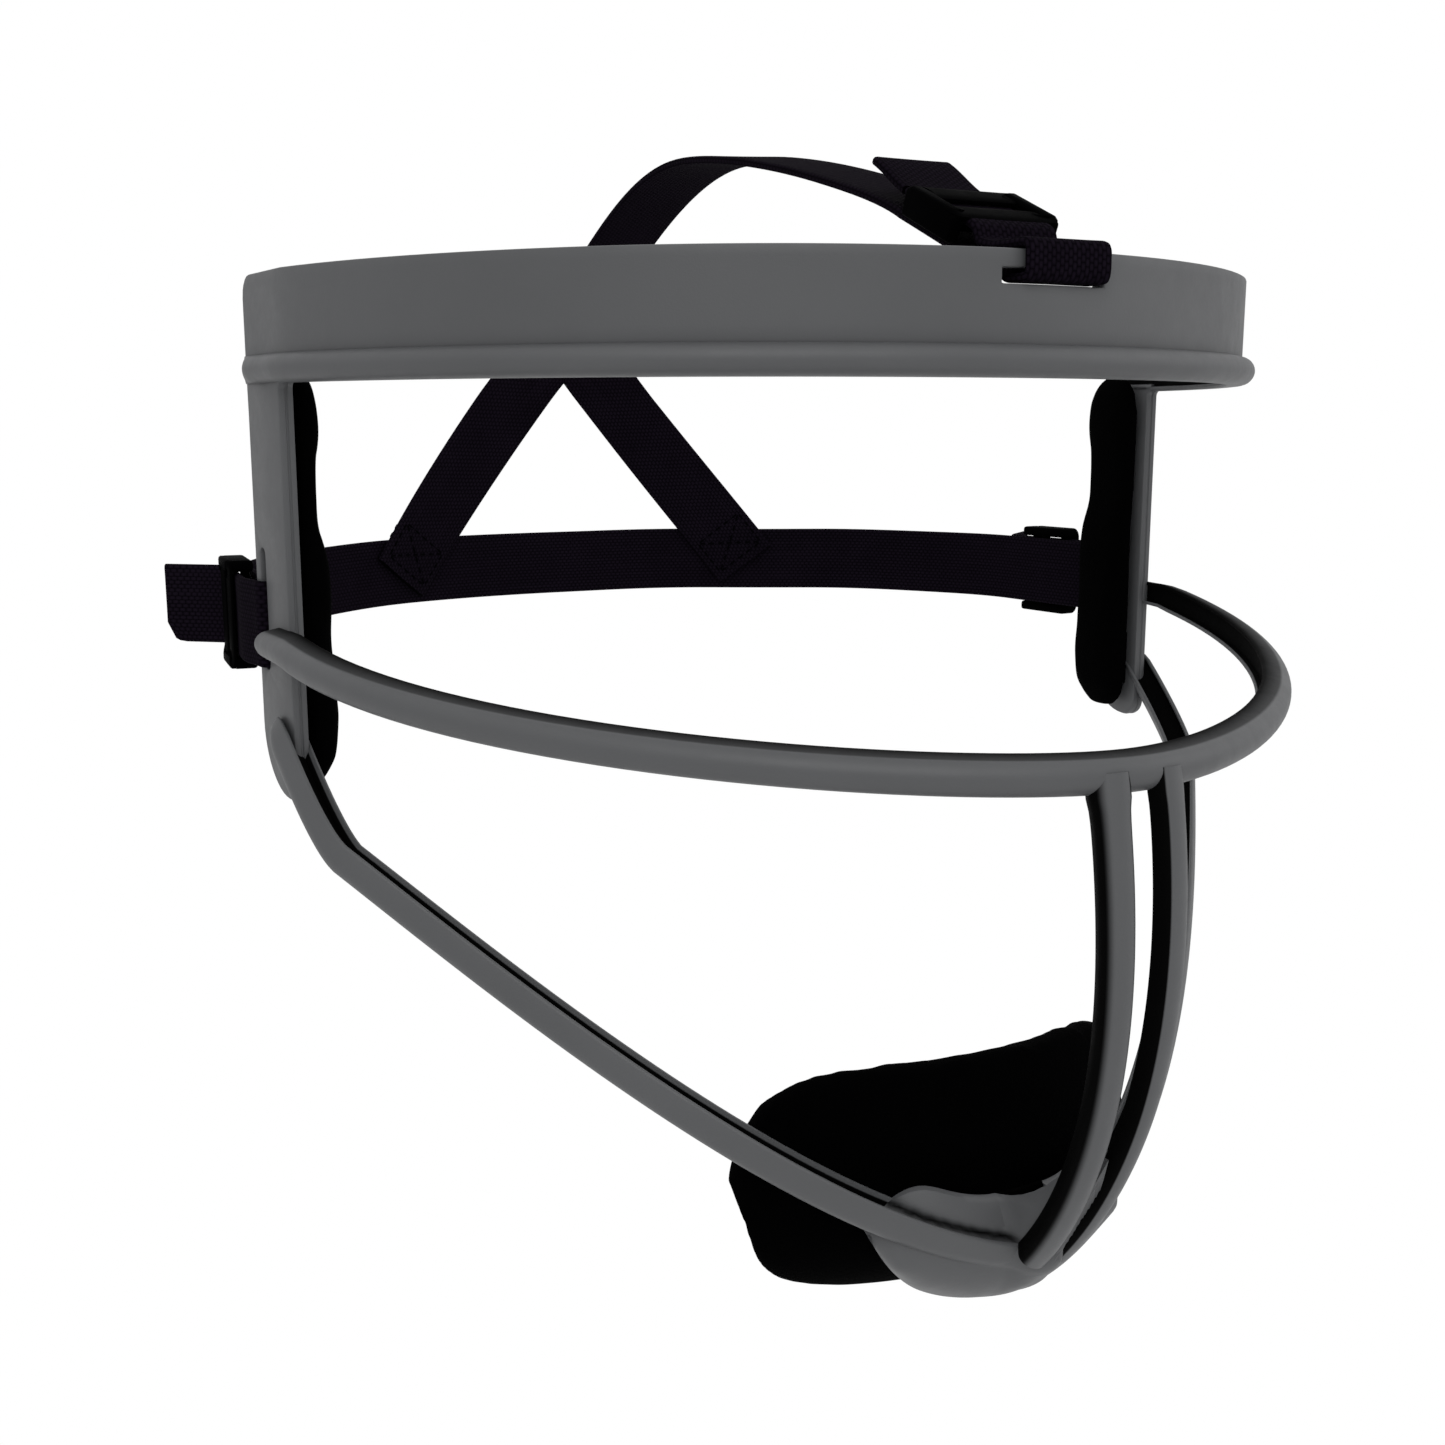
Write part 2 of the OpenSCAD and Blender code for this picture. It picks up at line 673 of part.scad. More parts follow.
module yoke_leg_left() { yoke_leg(1); }

// ---------- crown strap, seen from the side as [y, z] ----------
crown_dir = [cos(crown_rise), sin(crown_rise)];
crown_up = [-sin(crown_rise), cos(crown_rise)];
// the doubled webbing starts this far behind the lip
crown_lead = 9;
double_from = [lip_y + crown_lead, band_top + fit];
// a point of the doubled webbing: u back from the band, n upwards
function on_crown(u, n) = double_from + u * crown_dir + n * crown_up;
crown_double = crown_buckle_gap + buckle_l + buckle_travel + fit;
leg_y = on_back(0, leg_top, web_t + fit / 3)[1];
sewn = 3;
crown_from = on_crown(crown_double, -web_n);
crown_top_y = 28;
crown_arc_a = [
    crown_from, crown_from + [12, 6.4], [crown_top_y - 26, crown_z - 1.2],
    [crown_top_y, crown_z]
];
crown_arc_b = [
    [crown_top_y, crown_z], [crown_top_y + 26, crown_z + 1.2],
    [crown_top_y + 50, crown_z - 12.8], [leg_y, leg_top - sewn]
];
module on_middle(width) {
    rotate([90, 0, 90])
        linear_extrude(height = width, center = true)
            children();
}
module web_run(path) {
    polygon(concat(offset_path(path, web_t / 2), reversed(offset_path(path, -web_t / 2))));
}
module crown_strap() {
    path = concat(
        [for (i = [0:10]) bez(crown_arc_a, i / 10)],
        [for (i = [1:12]) bez(crown_arc_b, i / 12)]
    );
    color(web_black)
        on_middle(web_w)
            web_run(path);
}
// webbing that comes down over the band's lip, through the slot and back up behind the lip
// depth by which the curved band falls away at the webbing's edges
band_sag = band_front_r - sqrt(pow(band_front_r, 2) - pow(web_w / 2, 2));
module crown_slot_loop() {
    half = web_t / 2;
    front = lip_y - wall / 2 - fit;
    rear = lip_y + wall / 2 + fit + band_sag;
    top = band_top + fit;
    low = crown_slot_z - half;
    tail_from = crown_double - fit;
    color(web_black)
        on_middle(web_w)
            polygon([
                on_crown(tail_from, web_n + half),
                on_crown(1, web_n + half),
                [lip_y + 3, top + web_t],
                [front - half, top + web_t],
                [front - web_t, top + half],
                [front - web_t, low],
                [rear + web_t, low],
                [rear + web_t, band_top - 2.5],
                on_crown(1, -web_n - half),
                on_crown(crown_double + fuse, -web_n - half),
                on_crown(crown_double + fuse, -web_n + half),
                on_crown(0.5, -web_n + half),
                [rear, band_top - 2],
                [rear, low + web_t],
                [front, low + web_t],
                [front, top],
                [lip_y + 3, top],
                on_crown(1.5, web_n - half),
                on_crown(tail_from, web_n - half)
            ]);
}

// free tail of the crown strap, turning about a line across the head
crown_pivot = on_crown(crown_double + web_t / 2, web_n);
module crown_tail() {
    color(web_black)
        translate([0, crown_pivot[0], crown_pivot[1]])
            rotate([crown_rise + crown_tail_angle, 0, 0])
                union() {
                    rotate([0, 90, 0])
                        cylinder(d = web_t, h = web_w, center = true, $fn = 24);
                    translate([-web_w / 2, 0, -web_t / 2])
                        cube([web_w, crown_tail_len, web_t]);
                }
}

// ---------- slide buckles ----------
// x runs along the webbing, y across the layers, z across the width
module slide_buckle(layer) {
    inside = web_w / 2 + fit;
    outer_y = layer + web_t / 2 + fit;
    rail_low = -buckle_bar / 2;
    rail_high = outer_y + buckle_bar * 0.7;
    color(buckle_black) {
        for (side = [-1, 1])
            translate([0, rail_low, side > 0 ? inside : -inside - buckle_rail])
                cube([buckle_l, rail_high - rail_low, buckle_rail]);
        for (x = [0, buckle_l - buckle_bar])
            translate([x, outer_y, -inside - fuse])
                cube([buckle_bar, buckle_bar * 0.7, 2 * (inside + fuse)]);
        translate([buckle_l / 2, 0, 0])
            cylinder(d = buckle_bar, h = 2 * (inside + fuse), center = true, $fn = 24);
    }
}
module side_buckle(side) {
    p = on_web(buckle_gap, 0);
    mirror([side < 0 ? 1 : 0, 0, 0])
        translate([p[0], p[1], strap_z])
            rotate([0, 0, web_heading])
                mirror([0, 1, 0])
                    slide_buckle(web_n);
}
module buckle_right() { side_buckle(-1); }
module buckle_left() { side_buckle(1); }
module crown_buckle() {
    p = on_crown(crown_buckle_gap, 0);
    translate([0, p[0], p[1]])
        rotate([crown_rise, 0, 0])
            rotate([90, 0, 90])
                slide_buckle(web_n);
}

forehead_band();
brow_rail();
upright_right();
upright_left();
cheek_bar();
centre_bar_right();
centre_bar_left();
jaw_bar_right();
jaw_bar_left();
chin_plate();
forehead_pad();
side_pad_right();
side_pad_left();
chin_pad();
forehead_pad_tape();
side_pad_tape_right();
side_pad_tape_left();
chin_pad_tape();
back_strap();
slot_loop_right();
slot_loop_left();
yoke_leg_right();
yoke_leg_left();
crown_strap();
crown_slot_loop();
side_tail_right();
side_tail_left();
crown_tail();
buckle_right();
buckle_left();
crown_buckle();
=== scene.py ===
"""Looks of a softball fielder's face mask: moulded guard, foam pads, webbing harness and slide buckles.

Every shape is worked out in millimetres in the CAD frame (+X wearer's left, -Y front, +Z up, origin in the
middle of the head opening) and becomes metres when its mesh is made.
"""

import logging
import math
import random
from dataclasses import dataclass, field, fields
from enum import Enum
from typing import Callable, ClassVar, Iterable, Sequence

import bmesh
import bpy
from mathutils import Matrix, Vector, noise


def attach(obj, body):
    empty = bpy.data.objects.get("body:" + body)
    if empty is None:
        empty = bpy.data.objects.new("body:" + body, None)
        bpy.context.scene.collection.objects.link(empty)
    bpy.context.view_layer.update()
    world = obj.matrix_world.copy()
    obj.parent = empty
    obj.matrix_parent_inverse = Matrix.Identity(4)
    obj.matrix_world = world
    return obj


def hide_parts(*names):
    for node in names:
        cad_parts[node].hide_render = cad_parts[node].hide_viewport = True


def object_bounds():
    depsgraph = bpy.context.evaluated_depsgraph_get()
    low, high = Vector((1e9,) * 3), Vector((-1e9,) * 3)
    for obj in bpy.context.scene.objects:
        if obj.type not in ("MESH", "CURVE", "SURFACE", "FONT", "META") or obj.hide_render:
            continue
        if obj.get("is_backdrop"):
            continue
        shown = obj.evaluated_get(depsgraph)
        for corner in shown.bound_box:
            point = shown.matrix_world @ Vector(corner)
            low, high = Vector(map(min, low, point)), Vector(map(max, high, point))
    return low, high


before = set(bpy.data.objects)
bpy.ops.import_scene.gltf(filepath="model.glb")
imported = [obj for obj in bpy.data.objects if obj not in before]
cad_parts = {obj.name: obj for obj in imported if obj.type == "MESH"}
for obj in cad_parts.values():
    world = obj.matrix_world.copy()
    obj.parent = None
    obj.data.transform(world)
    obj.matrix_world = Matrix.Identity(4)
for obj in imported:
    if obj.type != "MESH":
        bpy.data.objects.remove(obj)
log = logging.getLogger("face_mask")

MM = 0.001
UP = Vector((0, 0, 1))
ASIDE = Vector((1, 0, 0))
Row = list[Vector]
Grid = list[list[bmesh.types.BMVert]]
Flat = list[tuple[float, float]]
CREASE, ROUND_CREASE, WEB_CREASE, NO_CREASE = 38, 60, 50, 180


# ---------------------------------------------------------------- curves
def bezier(p: Sequence[Vector], t: float) -> Vector:
    """Point of a cubic curve.

    Args:
        p: four control points.
        t: share of the way, 0 to 1.

    Returns:
        The point at t.
    """
    s = 1 - t
    return s**3 * p[0] + 3 * t * s * s * p[1] + 3 * t * t * s * p[2] + t**3 * p[3]


def smooth(t: float) -> float:
    """Soft step.

    Args:
        t: any number, held to 0 to 1.

    Returns:
        0 to 1 with level ends.
    """
    t = min(1.0, max(0.0, t))
    return t * t * (3 - 2 * t)


def spline(points: Sequence[Vector], per_span: int) -> Row:
    """Smooth curve through points.

    Args:
        points: points that the curve passes.
        per_span: points made between two given ones.

    Returns:
        The denser list, first and last point included.
    """
    out: Row = []
    last = len(points) - 1
    for i in range(last):
        a, b, c, d = points[max(i - 1, 0)], points[i], points[i + 1], points[min(i + 2, last)]
        for k in range(per_span):
            t = k / per_span
            out.append(0.5 * (2 * b + (c - a) * t + (2 * a - 5 * b + 4 * c - d) * t * t
                              + (3 * b - a - 3 * c + d) * t**3))
    out.append(points[last].copy())
    return out


def tangents(path: Sequence[Vector]) -> Row:
    """Directions along a path.

    Args:
        path: points in order.

    Returns:
        A unit vector for each point.
    """
    last = len(path) - 1
    return [(path[min(i + 1, last)] - path[max(i - 1, 0)]).normalized() for i in range(last + 1)]


def mirrored(points: Iterable[Vector]) -> Row:
    """The same points on the other side of the middle plane.

    Args:
        points: points in millimetres.

    Returns:
        The mirrored points in the same order.
    """
    return [Vector((-p.x, p.y, p.z)) for p in points]


def lookup(value: float, table: Sequence[tuple[float, float]]) -> float:
    """Reads a table of pairs, with a soft step between its entries.

    Args:
        value: where to read.
        table: pairs in rising order.

    Returns:
        The value between the two nearest entries, held at both ends.
    """
    if value <= table[0][0]:
        return table[0][1]
    for (a, u), (b, v) in zip(table, table[1:]):
        if value <= b:
            return u + (v - u) * smooth((value - a) / (b - a))
    return table[-1][1]


def hump(at: float, middle: float, width: float) -> float:
    """Args: at, middle, width: a place, and a round hump's middle and width. Returns: its height, 0 to 1."""
    return math.exp(-(((at - middle) / width) ** 2))


def round_end(share: float, power: int) -> float:
    """Args: share, power: how far out, 0 to 1, and how blunt. Returns: the thickness left there, 0 to 1."""
    return math.sqrt(max(0.0, 1 - abs(share) ** power))


def cos_sin(angle: float) -> tuple[float, float]:
    """Args: angle: in degrees. Returns: its cosine and sine."""
    return math.cos(math.radians(angle)), math.sin(math.radians(angle))


def add_object(name: str, data: bpy.types.ID) -> bpy.types.Object:
    """Args: name, data: a new object's name and contents. Returns: the object, shown in the scene."""
    made = bpy.data.objects.new(name, data)
    bpy.context.scene.collection.objects.link(made)
    return made


# ---------------------------------------------------------------- finishes
class Nodes:
    """Short way to build a node tree."""

    def __init__(self, tree: bpy.types.NodeTree) -> None:
        """Args: tree: the tree to fill, emptied first."""
        self.tree = tree
        tree.nodes.clear()

    def add(self, kind: str, **values: object) -> bpy.types.Node:
        """Adds a node.

        Args:
            kind: node type without its ShaderNode prefix, or a full type name.
            values: properties by name, or inputs as in_Name or in_number.

        Returns:
            The node.
        """
        full = kind if kind.startswith(("Shader", "Node")) else "ShaderNode" + kind
        node = self.tree.nodes.new(full)
        for key, value in values.items():
            if key.startswith("in_"):
                self.feed(node, **{key[3:]: value})
            else:
                setattr(node, key, value)
        return node

    def feed(self, node: bpy.types.Node, **values: object) -> None:
        """Sets or links a node's inputs.

        Args:
            node: the node.
            values: value or socket by the input's name or number.
        """
        for name, value in values.items():
            slot = node.inputs[int(name)] if name.isdigit() else node.inputs[name.replace("_", " ")]
            if isinstance(value, bpy.types.NodeSocket):
                self.tree.links.new(value, slot)
            else:
                slot.default_value = value

    def math(self, operation: str, a: object, b: object = 0.0, clamp: bool = False) -> bpy.types.NodeSocket:
        """Adds a sum of two values.

        Args:
            operation: Blender's name for it.
            a: first value or socket.
            b: second value or socket.
            clamp: holds the result to 0 to 1.

        Returns:
            The result's socket.
        """
        return self.add("Math", operation=operation, use_clamp=clamp, in_0=a, in_1=b).outputs[0]

    def mix(self, factor: object, a: object, b: object) -> bpy.types.NodeSocket:
        """Mixes two colours.

        Args:
            factor: share of b.
            a: first colour or socket.
            b: second colour or socket.

        Returns:
            The colour's socket.
        """
        return self.add("Mix", data_type="RGBA", in_0=factor, in_6=a, in_7=b).outputs[2]


def node_group(name: str, inputs: Sequence[tuple[str, str, object]], outputs: Sequence[tuple[str, str]],
               fill: Callable[[Nodes, bpy.types.Node, bpy.types.Node], None]) -> bpy.types.NodeTree:
    """Makes a shader node group once.

    Args:
        name: the group's name.
        inputs: name, socket type and default of each input.
        outputs: name and socket type of each output.
        fill: builds the inside from the node helper, the input node and the output node.

    Returns:
        The group.
    """
    if name in bpy.data.node_groups:
        return bpy.data.node_groups[name]
    tree = bpy.data.node_groups.new(name, "ShaderNodeTree")
    nodes = Nodes(tree)
    for label, kind, default in inputs:
        made = tree.interface.new_socket(name=label, in_out="INPUT", socket_type=kind)
        made.default_value = default
    for label, kind in outputs:
        tree.interface.new_socket(name=label, in_out="OUTPUT", socket_type=kind)
    fill(nodes, nodes.add("NodeGroupInput"), nodes.add("NodeGroupOutput"))
    return tree


FLOAT, COLOUR, VECTOR = "NodeSocketFloat", "NodeSocketColor", "NodeSocketVector"
Colour = tuple[float, float, float, float]


def fill_grain(nodes: Nodes, start: bpy.types.Node, end: bpy.types.Node) -> None:
    """Moulded plastic: a fine grain, faint flow marks, and the dark colour where the mesh's dark mask asks
    for it: the black paint of the channels, and painted shade over the cheek bar's top and upper rim.

    Args:
        nodes: node helper.
        start: the group's input node.
        end: the group's output node.
    """
    where = nodes.add("TexCoord").outputs["Object"]
    fine = nodes.add("TexNoise", in_Vector=where, in_Scale=start.outputs["Grain"], in_Detail=3.0,
                     in_Roughness=0.6)
    flow = nodes.add("TexNoise", in_Vector=where, in_Scale=38.0, in_Detail=4.0, in_Roughness=0.55)
    scuff = nodes.add("TexNoise", in_Vector=where, in_Scale=210.0, in_Detail=6.0, in_Roughness=0.72)
    marks = nodes.math("SUBTRACT", flow.outputs[0], 0.5)
    shade = nodes.math("ADD", 1.0, nodes.math("MULTIPLY", marks, 0.22))
    plain = nodes.add("VectorMath", operation="SCALE", in_0=start.outputs["Plain"], in_Scale=shade).outputs[0]
    # the dark mask: the channels' black paint, and painted shade over the cheek bar's top and upper rim
    mask = nodes.add("Attribute", attribute_name="dark").outputs["Fac"]
    worn = nodes.math("MULTIPLY", nodes.math("SUBTRACT", scuff.outputs[0], 0.5), 0.3)
    rough = nodes.math("ADD", start.outputs["Roughness"], worn)
    bare = nodes.math("SUBTRACT", 1.0, nodes.math("MULTIPLY", mask, 0.92))
    relief = nodes.math("ADD", fine.outputs[0], nodes.math("MULTIPLY", flow.outputs[0], 0.6))
    bump = nodes.add("Bump", in_Strength=start.outputs["Relief"], in_Distance=0.00012, in_Height=relief)
    nodes.feed(end, Color=nodes.mix(mask, plain, start.outputs["Dark"]), Normal=bump.outputs[0],
               Roughness=nodes.math("ADD", rough, nodes.math("MULTIPLY", mask, 0.25)),
               Specular=nodes.math("MULTIPLY", start.outputs["Specular"], bare))


def fill_weave(nodes: Nodes, start: bpy.types.Node, end: bpy.types.Node) -> None:
    """Woven webbing: ribs across and along, drawn on the strap's own map, with loose threads.

    Args:
        nodes: node helper.
        start: the group's input node.
        end: the group's output node.
    """
    strap = nodes.add("UVMap", uv_map="strap").outputs[0]
    parts = nodes.add("SeparateXYZ", in_0=strap)
    along, across = parts.outputs[0], parts.outputs[1]
    rib = nodes.math("MULTIPLY", along, start.outputs["Ribs"])
    thread = nodes.math("MULTIPLY", across, start.outputs["Threads"])
    row = nodes.math("FLOOR", nodes.math("DIVIDE", thread, math.pi))
    turn = nodes.math("MULTIPLY", nodes.math("MODULO", row, 2.0), math.pi / 2)
    over = nodes.math("ABSOLUTE", nodes.math("SINE", nodes.math("ADD", rib, turn)))
    yarn = nodes.math("ABSOLUTE", nodes.math("SINE", thread))
    relief = nodes.math("MULTIPLY", nodes.math("POWER", over, 0.6), nodes.math("POWER", yarn, 0.5))
    where = nodes.add("TexCoord").outputs["Object"]
    fuzz = nodes.add("TexNoise", in_Vector=where, in_Scale=2600.0, in_Detail=3.0)
    patch = nodes.add("TexNoise", in_Vector=where, in_Scale=90.0, in_Detail=5.0, in_Roughness=0.65)
    stretched = nodes.add("VectorMath", operation="MULTIPLY", in_0=strap, in_1=(40.0, 1500.0, 1.0)).outputs[0]
    streak = nodes.add("TexNoise", in_Vector=stretched, in_Scale=1.0, in_Detail=2.0)
    patchy = nodes.math("ADD", 0.45, nodes.math("MULTIPLY", patch.outputs[0], 1.1))
    # the raised yarn gets the bright colour and the gaps between yarns the deep one: painted shade of the
    # weave's relief, times random patches of tone
    shade_and_patches = nodes.math("MULTIPLY", relief, patchy)
    lines = nodes.math("MULTIPLY", nodes.math("SUBTRACT", streak.outputs[0], 0.58, True), 1.6)
    share = nodes.math("ADD", shade_and_patches, lines, True)
    height = nodes.math("ADD", relief, nodes.math("MULTIPLY", fuzz.outputs[0], 0.35))
    bump = nodes.add("Bump", in_Strength=start.outputs["Relief"], in_Distance=0.00022, in_Height=height)
    nodes.feed(end, Color=nodes.mix(share, start.outputs["Deep"], start.outputs["Bright"]),
               Normal=bump.outputs[0],
               Roughness=nodes.math("ADD", 0.72, nodes.math("MULTIPLY", patch.outputs[0], 0.2)))


def fill_nap(nodes: Nodes, start: bpy.types.Node, end: bpy.types.Node) -> None:
    """Brushed cloth over foam: short nap and soft creases, and a painted sheen that makes the high places
    lighter.

    Args:
        nodes: node helper.
        start: the group's input node.
        end: the group's output node.
    """
    where = nodes.add("TexCoord").outputs["Object"]
    nap = nodes.add("TexNoise", in_Vector=where, in_Scale=start.outputs["Nap"], in_Detail=4.0,
                    in_Roughness=0.7)
    loops = nodes.add("TexVoronoi", in_Vector=where, in_Scale=1400.0)
    crease = nodes.add("TexNoise", in_Vector=where, in_Scale=70.0, in_Detail=5.0, in_Roughness=0.6)
    # the colour is lighter where the nap and crease noise stand high, as the bump does: painted sheen on the
    # high places
    share = nodes.math("MULTIPLY", nodes.math("MULTIPLY", nap.outputs[0], crease.outputs[0]), 1.7, True)
    height = nodes.math("ADD", nodes.math("MULTIPLY", nap.outputs[0], 0.8),
                        nodes.math("ADD", nodes.math("MULTIPLY", loops.outputs[0], 0.5),
                                   nodes.math("MULTIPLY", crease.outputs[0], 1.5)))
    bump = nodes.add("Bump", in_Strength=0.55, in_Distance=0.00035, in_Height=height)
    nodes.feed(end, Color=nodes.mix(share, start.outputs["Deep"], start.outputs["Bright"]),
               Normal=bump.outputs[0],
               Roughness=nodes.math("ADD", 0.8, nodes.math("MULTIPLY", crease.outputs[0], 0.2)))


SURFACE = [("Color", COLOUR), ("Roughness", FLOAT), ("Normal", VECTOR)]


@dataclass(frozen=True)
class SurfaceFinish:
    """A finish whose fields, all but its name, are the inputs of its node group."""

    name: str
    group: ClassVar[str]
    fill: ClassVar[Callable[[Nodes, bpy.types.Node, bpy.types.Node], None]]
    outputs: ClassVar[list[tuple[str, str]]] = SURFACE
    cloth_shine: ClassVar[float] = 0.01

    def material(self) -> bpy.types.Material:
        """Returns: the finish as a material, with the dull shine of cloth if its group puts out none."""
        values = {one.name.title(): getattr(self, one.name) for one in fields(self)[1:]}
        inputs = [(label, COLOUR if isinstance(value, tuple) else FLOAT, value)
                  for label, value in values.items()]
        made = bpy.data.materials.new(self.name)
        made.use_nodes = True
        nodes = Nodes(made.node_tree)
        vary = nodes.add("Group", node_tree=node_group(self.group, inputs, self.outputs, self.fill))
        nodes.feed(vary, **values)
        shine = vary.outputs["Specular"] if "Specular" in vary.outputs else self.cloth_shine
        coat = nodes.add("BsdfPrincipled", in_Base_Color=vary.outputs["Color"],
                         in_Normal=vary.outputs["Normal"], in_Roughness=vary.outputs["Roughness"],
                         in_Specular_IOR_Level=shine)
        nodes.add("OutputMaterial", in_Surface=coat.outputs[0])
        return made


@dataclass(frozen=True)
class PlasticFinish(SurfaceFinish):
    """Moulded plastic."""

    plain: Colour
    dark: Colour
    roughness: float
    grain: float
    relief: float
    specular: float
    group = "moulded grain"
    fill = staticmethod(fill_grain)
    outputs = SURFACE + [("Specular", FLOAT)]


@dataclass(frozen=True)
class WebbingFinish(SurfaceFinish):
    """Plain woven webbing."""

    deep: Colour
    bright: Colour
    ribs: float
    threads: float
    relief: float
    group = "webbing weave"
    fill = staticmethod(fill_weave)


@dataclass(frozen=True)
class ClothFinish(SurfaceFinish):
    """Brushed cloth over foam."""

    deep: Colour
    bright: Colour
    nap: float
    group = "brushed nap"
    fill = staticmethod(fill_nap)


class Finish(Enum):
    """Every finish of the mask."""

    FRAME = PlasticFinish("satin grey moulding", (0.084, 0.086, 0.0895, 1), (0.0006, 0.0006, 0.0006, 1),
                          0.46, 2600.0, 0.22, 0.42)
    BUCKLE = PlasticFinish("black moulding", (0.0008, 0.0008, 0.0009, 1), (0.0004, 0.0004, 0.0004, 1),
                           0.5, 3200.0, 0.15, 0.002)
    WEBBING = WebbingFinish("dark webbing", (0.0009, 0.0006, 0.0012, 1), (0.0078, 0.0054, 0.0098, 1),
                            2600.0, 3900.0, 0.5)
    THREAD = WebbingFinish("sewing thread", (0.001, 0.0008, 0.0014, 1), (0.0105, 0.0078, 0.013, 1),
                           9000.0, 9000.0, 0.5)
    PAD = ClothFinish("black brushed cloth", (0.0001, 0.0001, 0.0001, 1), (0.0009, 0.0009, 0.001, 1), 1700.0)
    TAPE = ClothFinish("hook tape", (0.0003, 0.0003, 0.0003, 1), (0.0015, 0.0015, 0.0015, 1), 3600.0)

    def material(self) -> bpy.types.Material:
        """Returns: the finish's material, made the first time it is asked for."""
        return bpy.data.materials.get(self.value.name) or self.value.material()

    @property
    def slot(self) -> str:
        """Returns: the record's slot of this finish."""
        return {Finish.THREAD: "webbing", Finish.PAD: "pad_skin"}.get(self, self.name.lower())


# ---------------------------------------------------------------- meshes
class Mesher:
    """Collects points in millimetres into one mesh with a strap map and a dark mask."""

    def __init__(self) -> None:
        """Starts an empty mesh."""
        self.bm = bmesh.new()
        self.uv = self.bm.loops.layers.uv.new("strap")
        self.dark = self.bm.verts.layers.float.new("dark")

    def loop(self, points: Iterable[Vector], dark: Sequence[float] | None = None) -> list[bmesh.types.BMVert]:
        """Adds points.

        Args:
            points: where they are.
            dark: share of the dark colour at each: black paint, and in places painted shade.

        Returns:
            The vertices in order.
        """
        made = []
        for k, p in enumerate(points):
            v = self.bm.verts.new(p)
            v[self.dark] = dark[k % len(dark)] if dark else 0.0
            made.append(v)
        return made

    def skin(self, rows: Sequence[Row], around: bool = False, dark: Sequence[float] | None = None,
             skip: Callable[[int, int], bool] | None = None, caps: bool = False) -> Grid:
        """Covers rows of points with quads.

        Args:
            rows: rows with the same number of points.
            around: joins each row's last point to its first.
            dark: share of the dark colour along a row: black paint, and in places painted shade.
            skip: says which quads are left open, by row and place.
            caps: closes the first and the last row.

        Returns:
            The vertices, row by row.
        """
        grid = [self.loop(row, dark) for row in rows]
        count = len(rows[0])
        mids = [sum(row, Vector()) / count for row in rows]
        along = [0.0]
        for a, b in zip(mids, mids[1:]):
            along.append(along[-1] + (b - a).length * MM)
        across = [0.0]
        sample = rows[len(rows) // 2]
        for k in range(count):
            across.append(across[-1] + (sample[(k + 1) % count] - sample[k]).length * MM)
        for i in range(len(rows) - 1):
            for k in range(count if around else count - 1):
                if skip and skip(i, k):
                    continue
                n = (k + 1) % count
                face = self.bm.faces.new((grid[i][k], grid[i + 1][k], grid[i + 1][n], grid[i][n]))
                spots = ((i, k), (i + 1, k), (i + 1, k + 1), (i, k + 1))
                for corner, (u, v) in zip(face.loops, spots):
                    corner[self.uv].uv = (along[u], across[v])
        if caps:
            for row in (grid[0], grid[-1]):
                edges = [e for e in {e for v in row for e in v.link_edges} if all(v in row for v in e.verts)]
                bmesh.ops.triangle_fill(self.bm, edges=edges, use_beauty=True)
        return grid

    def thicken(self, wall: float) -> None:
        """Gives open faces a wall behind them.

        Args:
            wall: thickness.
        """
        bmesh.ops.recalc_face_normals(self.bm, faces=self.bm.faces)
        everything = self.bm.faces[:] + self.bm.edges[:] + self.bm.verts[:]
        bmesh.ops.solidify(self.bm, geom=everything, thickness=wall)

    def soften(self, radius: float, segments: int = 2, sharpest: float = 50) -> None:
        """Rounds sharp edges.

        Args:
            radius: size of the rounding.
            segments: faces across it.
            sharpest: turn in degrees past which an edge is rounded.
        """
        bmesh.ops.recalc_face_normals(self.bm, faces=self.bm.faces)
        self.bm.normal_update()
        edges = [e for e in self.bm.edges
                 if len(e.link_faces) == 2 and math.degrees(e.calc_face_angle(0)) > sharpest]
        bmesh.ops.bevel(self.bm, geom=edges, offset=radius, offset_type="OFFSET", segments=segments,
                        profile=0.5, affect="EDGES", clamp_overlap=True, material=-1)

    def block(self, size: Vector, place: Matrix, radius: float) -> None:
        """Adds a rounded block.

        Args:
            size: its three lengths.
            place: where its middle goes.
            radius: rounding of its edges.
        """
        made = bmesh.ops.create_cube(self.bm, size=1.0, matrix=place @ Matrix.Diagonal((*size, 1)))["verts"]
        edges = list({e for v in made for e in v.link_edges})
        bmesh.ops.bevel(self.bm, geom=edges, offset=radius, offset_type="OFFSET", segments=3, profile=0.5,
                        affect="EDGES", clamp_overlap=True, material=-1)

    def piece(self, name: str, finish: Finish, crease: float) -> bpy.types.Object:
        """Turns what was collected into an object.

        Args:
            name: the object's name.
            finish: its finish.
            crease: turn in degrees past which an edge shows as sharp.

        Returns:
            The object, at the origin, with its place in its mesh.
        """
        bmesh.ops.recalc_face_normals(self.bm, faces=self.bm.faces)
        bmesh.ops.scale(self.bm, vec=(MM, MM, MM), verts=self.bm.verts)
        mesh = bpy.data.meshes.new(name)
        self.bm.to_mesh(mesh)
        self.bm.free()
        mesh.materials.append(finish.material())
        mesh.shade_smooth()
        mesh.set_sharp_from_angle(angle=math.radians(crease))
        return add_object(name.replace(" ", "-"), mesh)


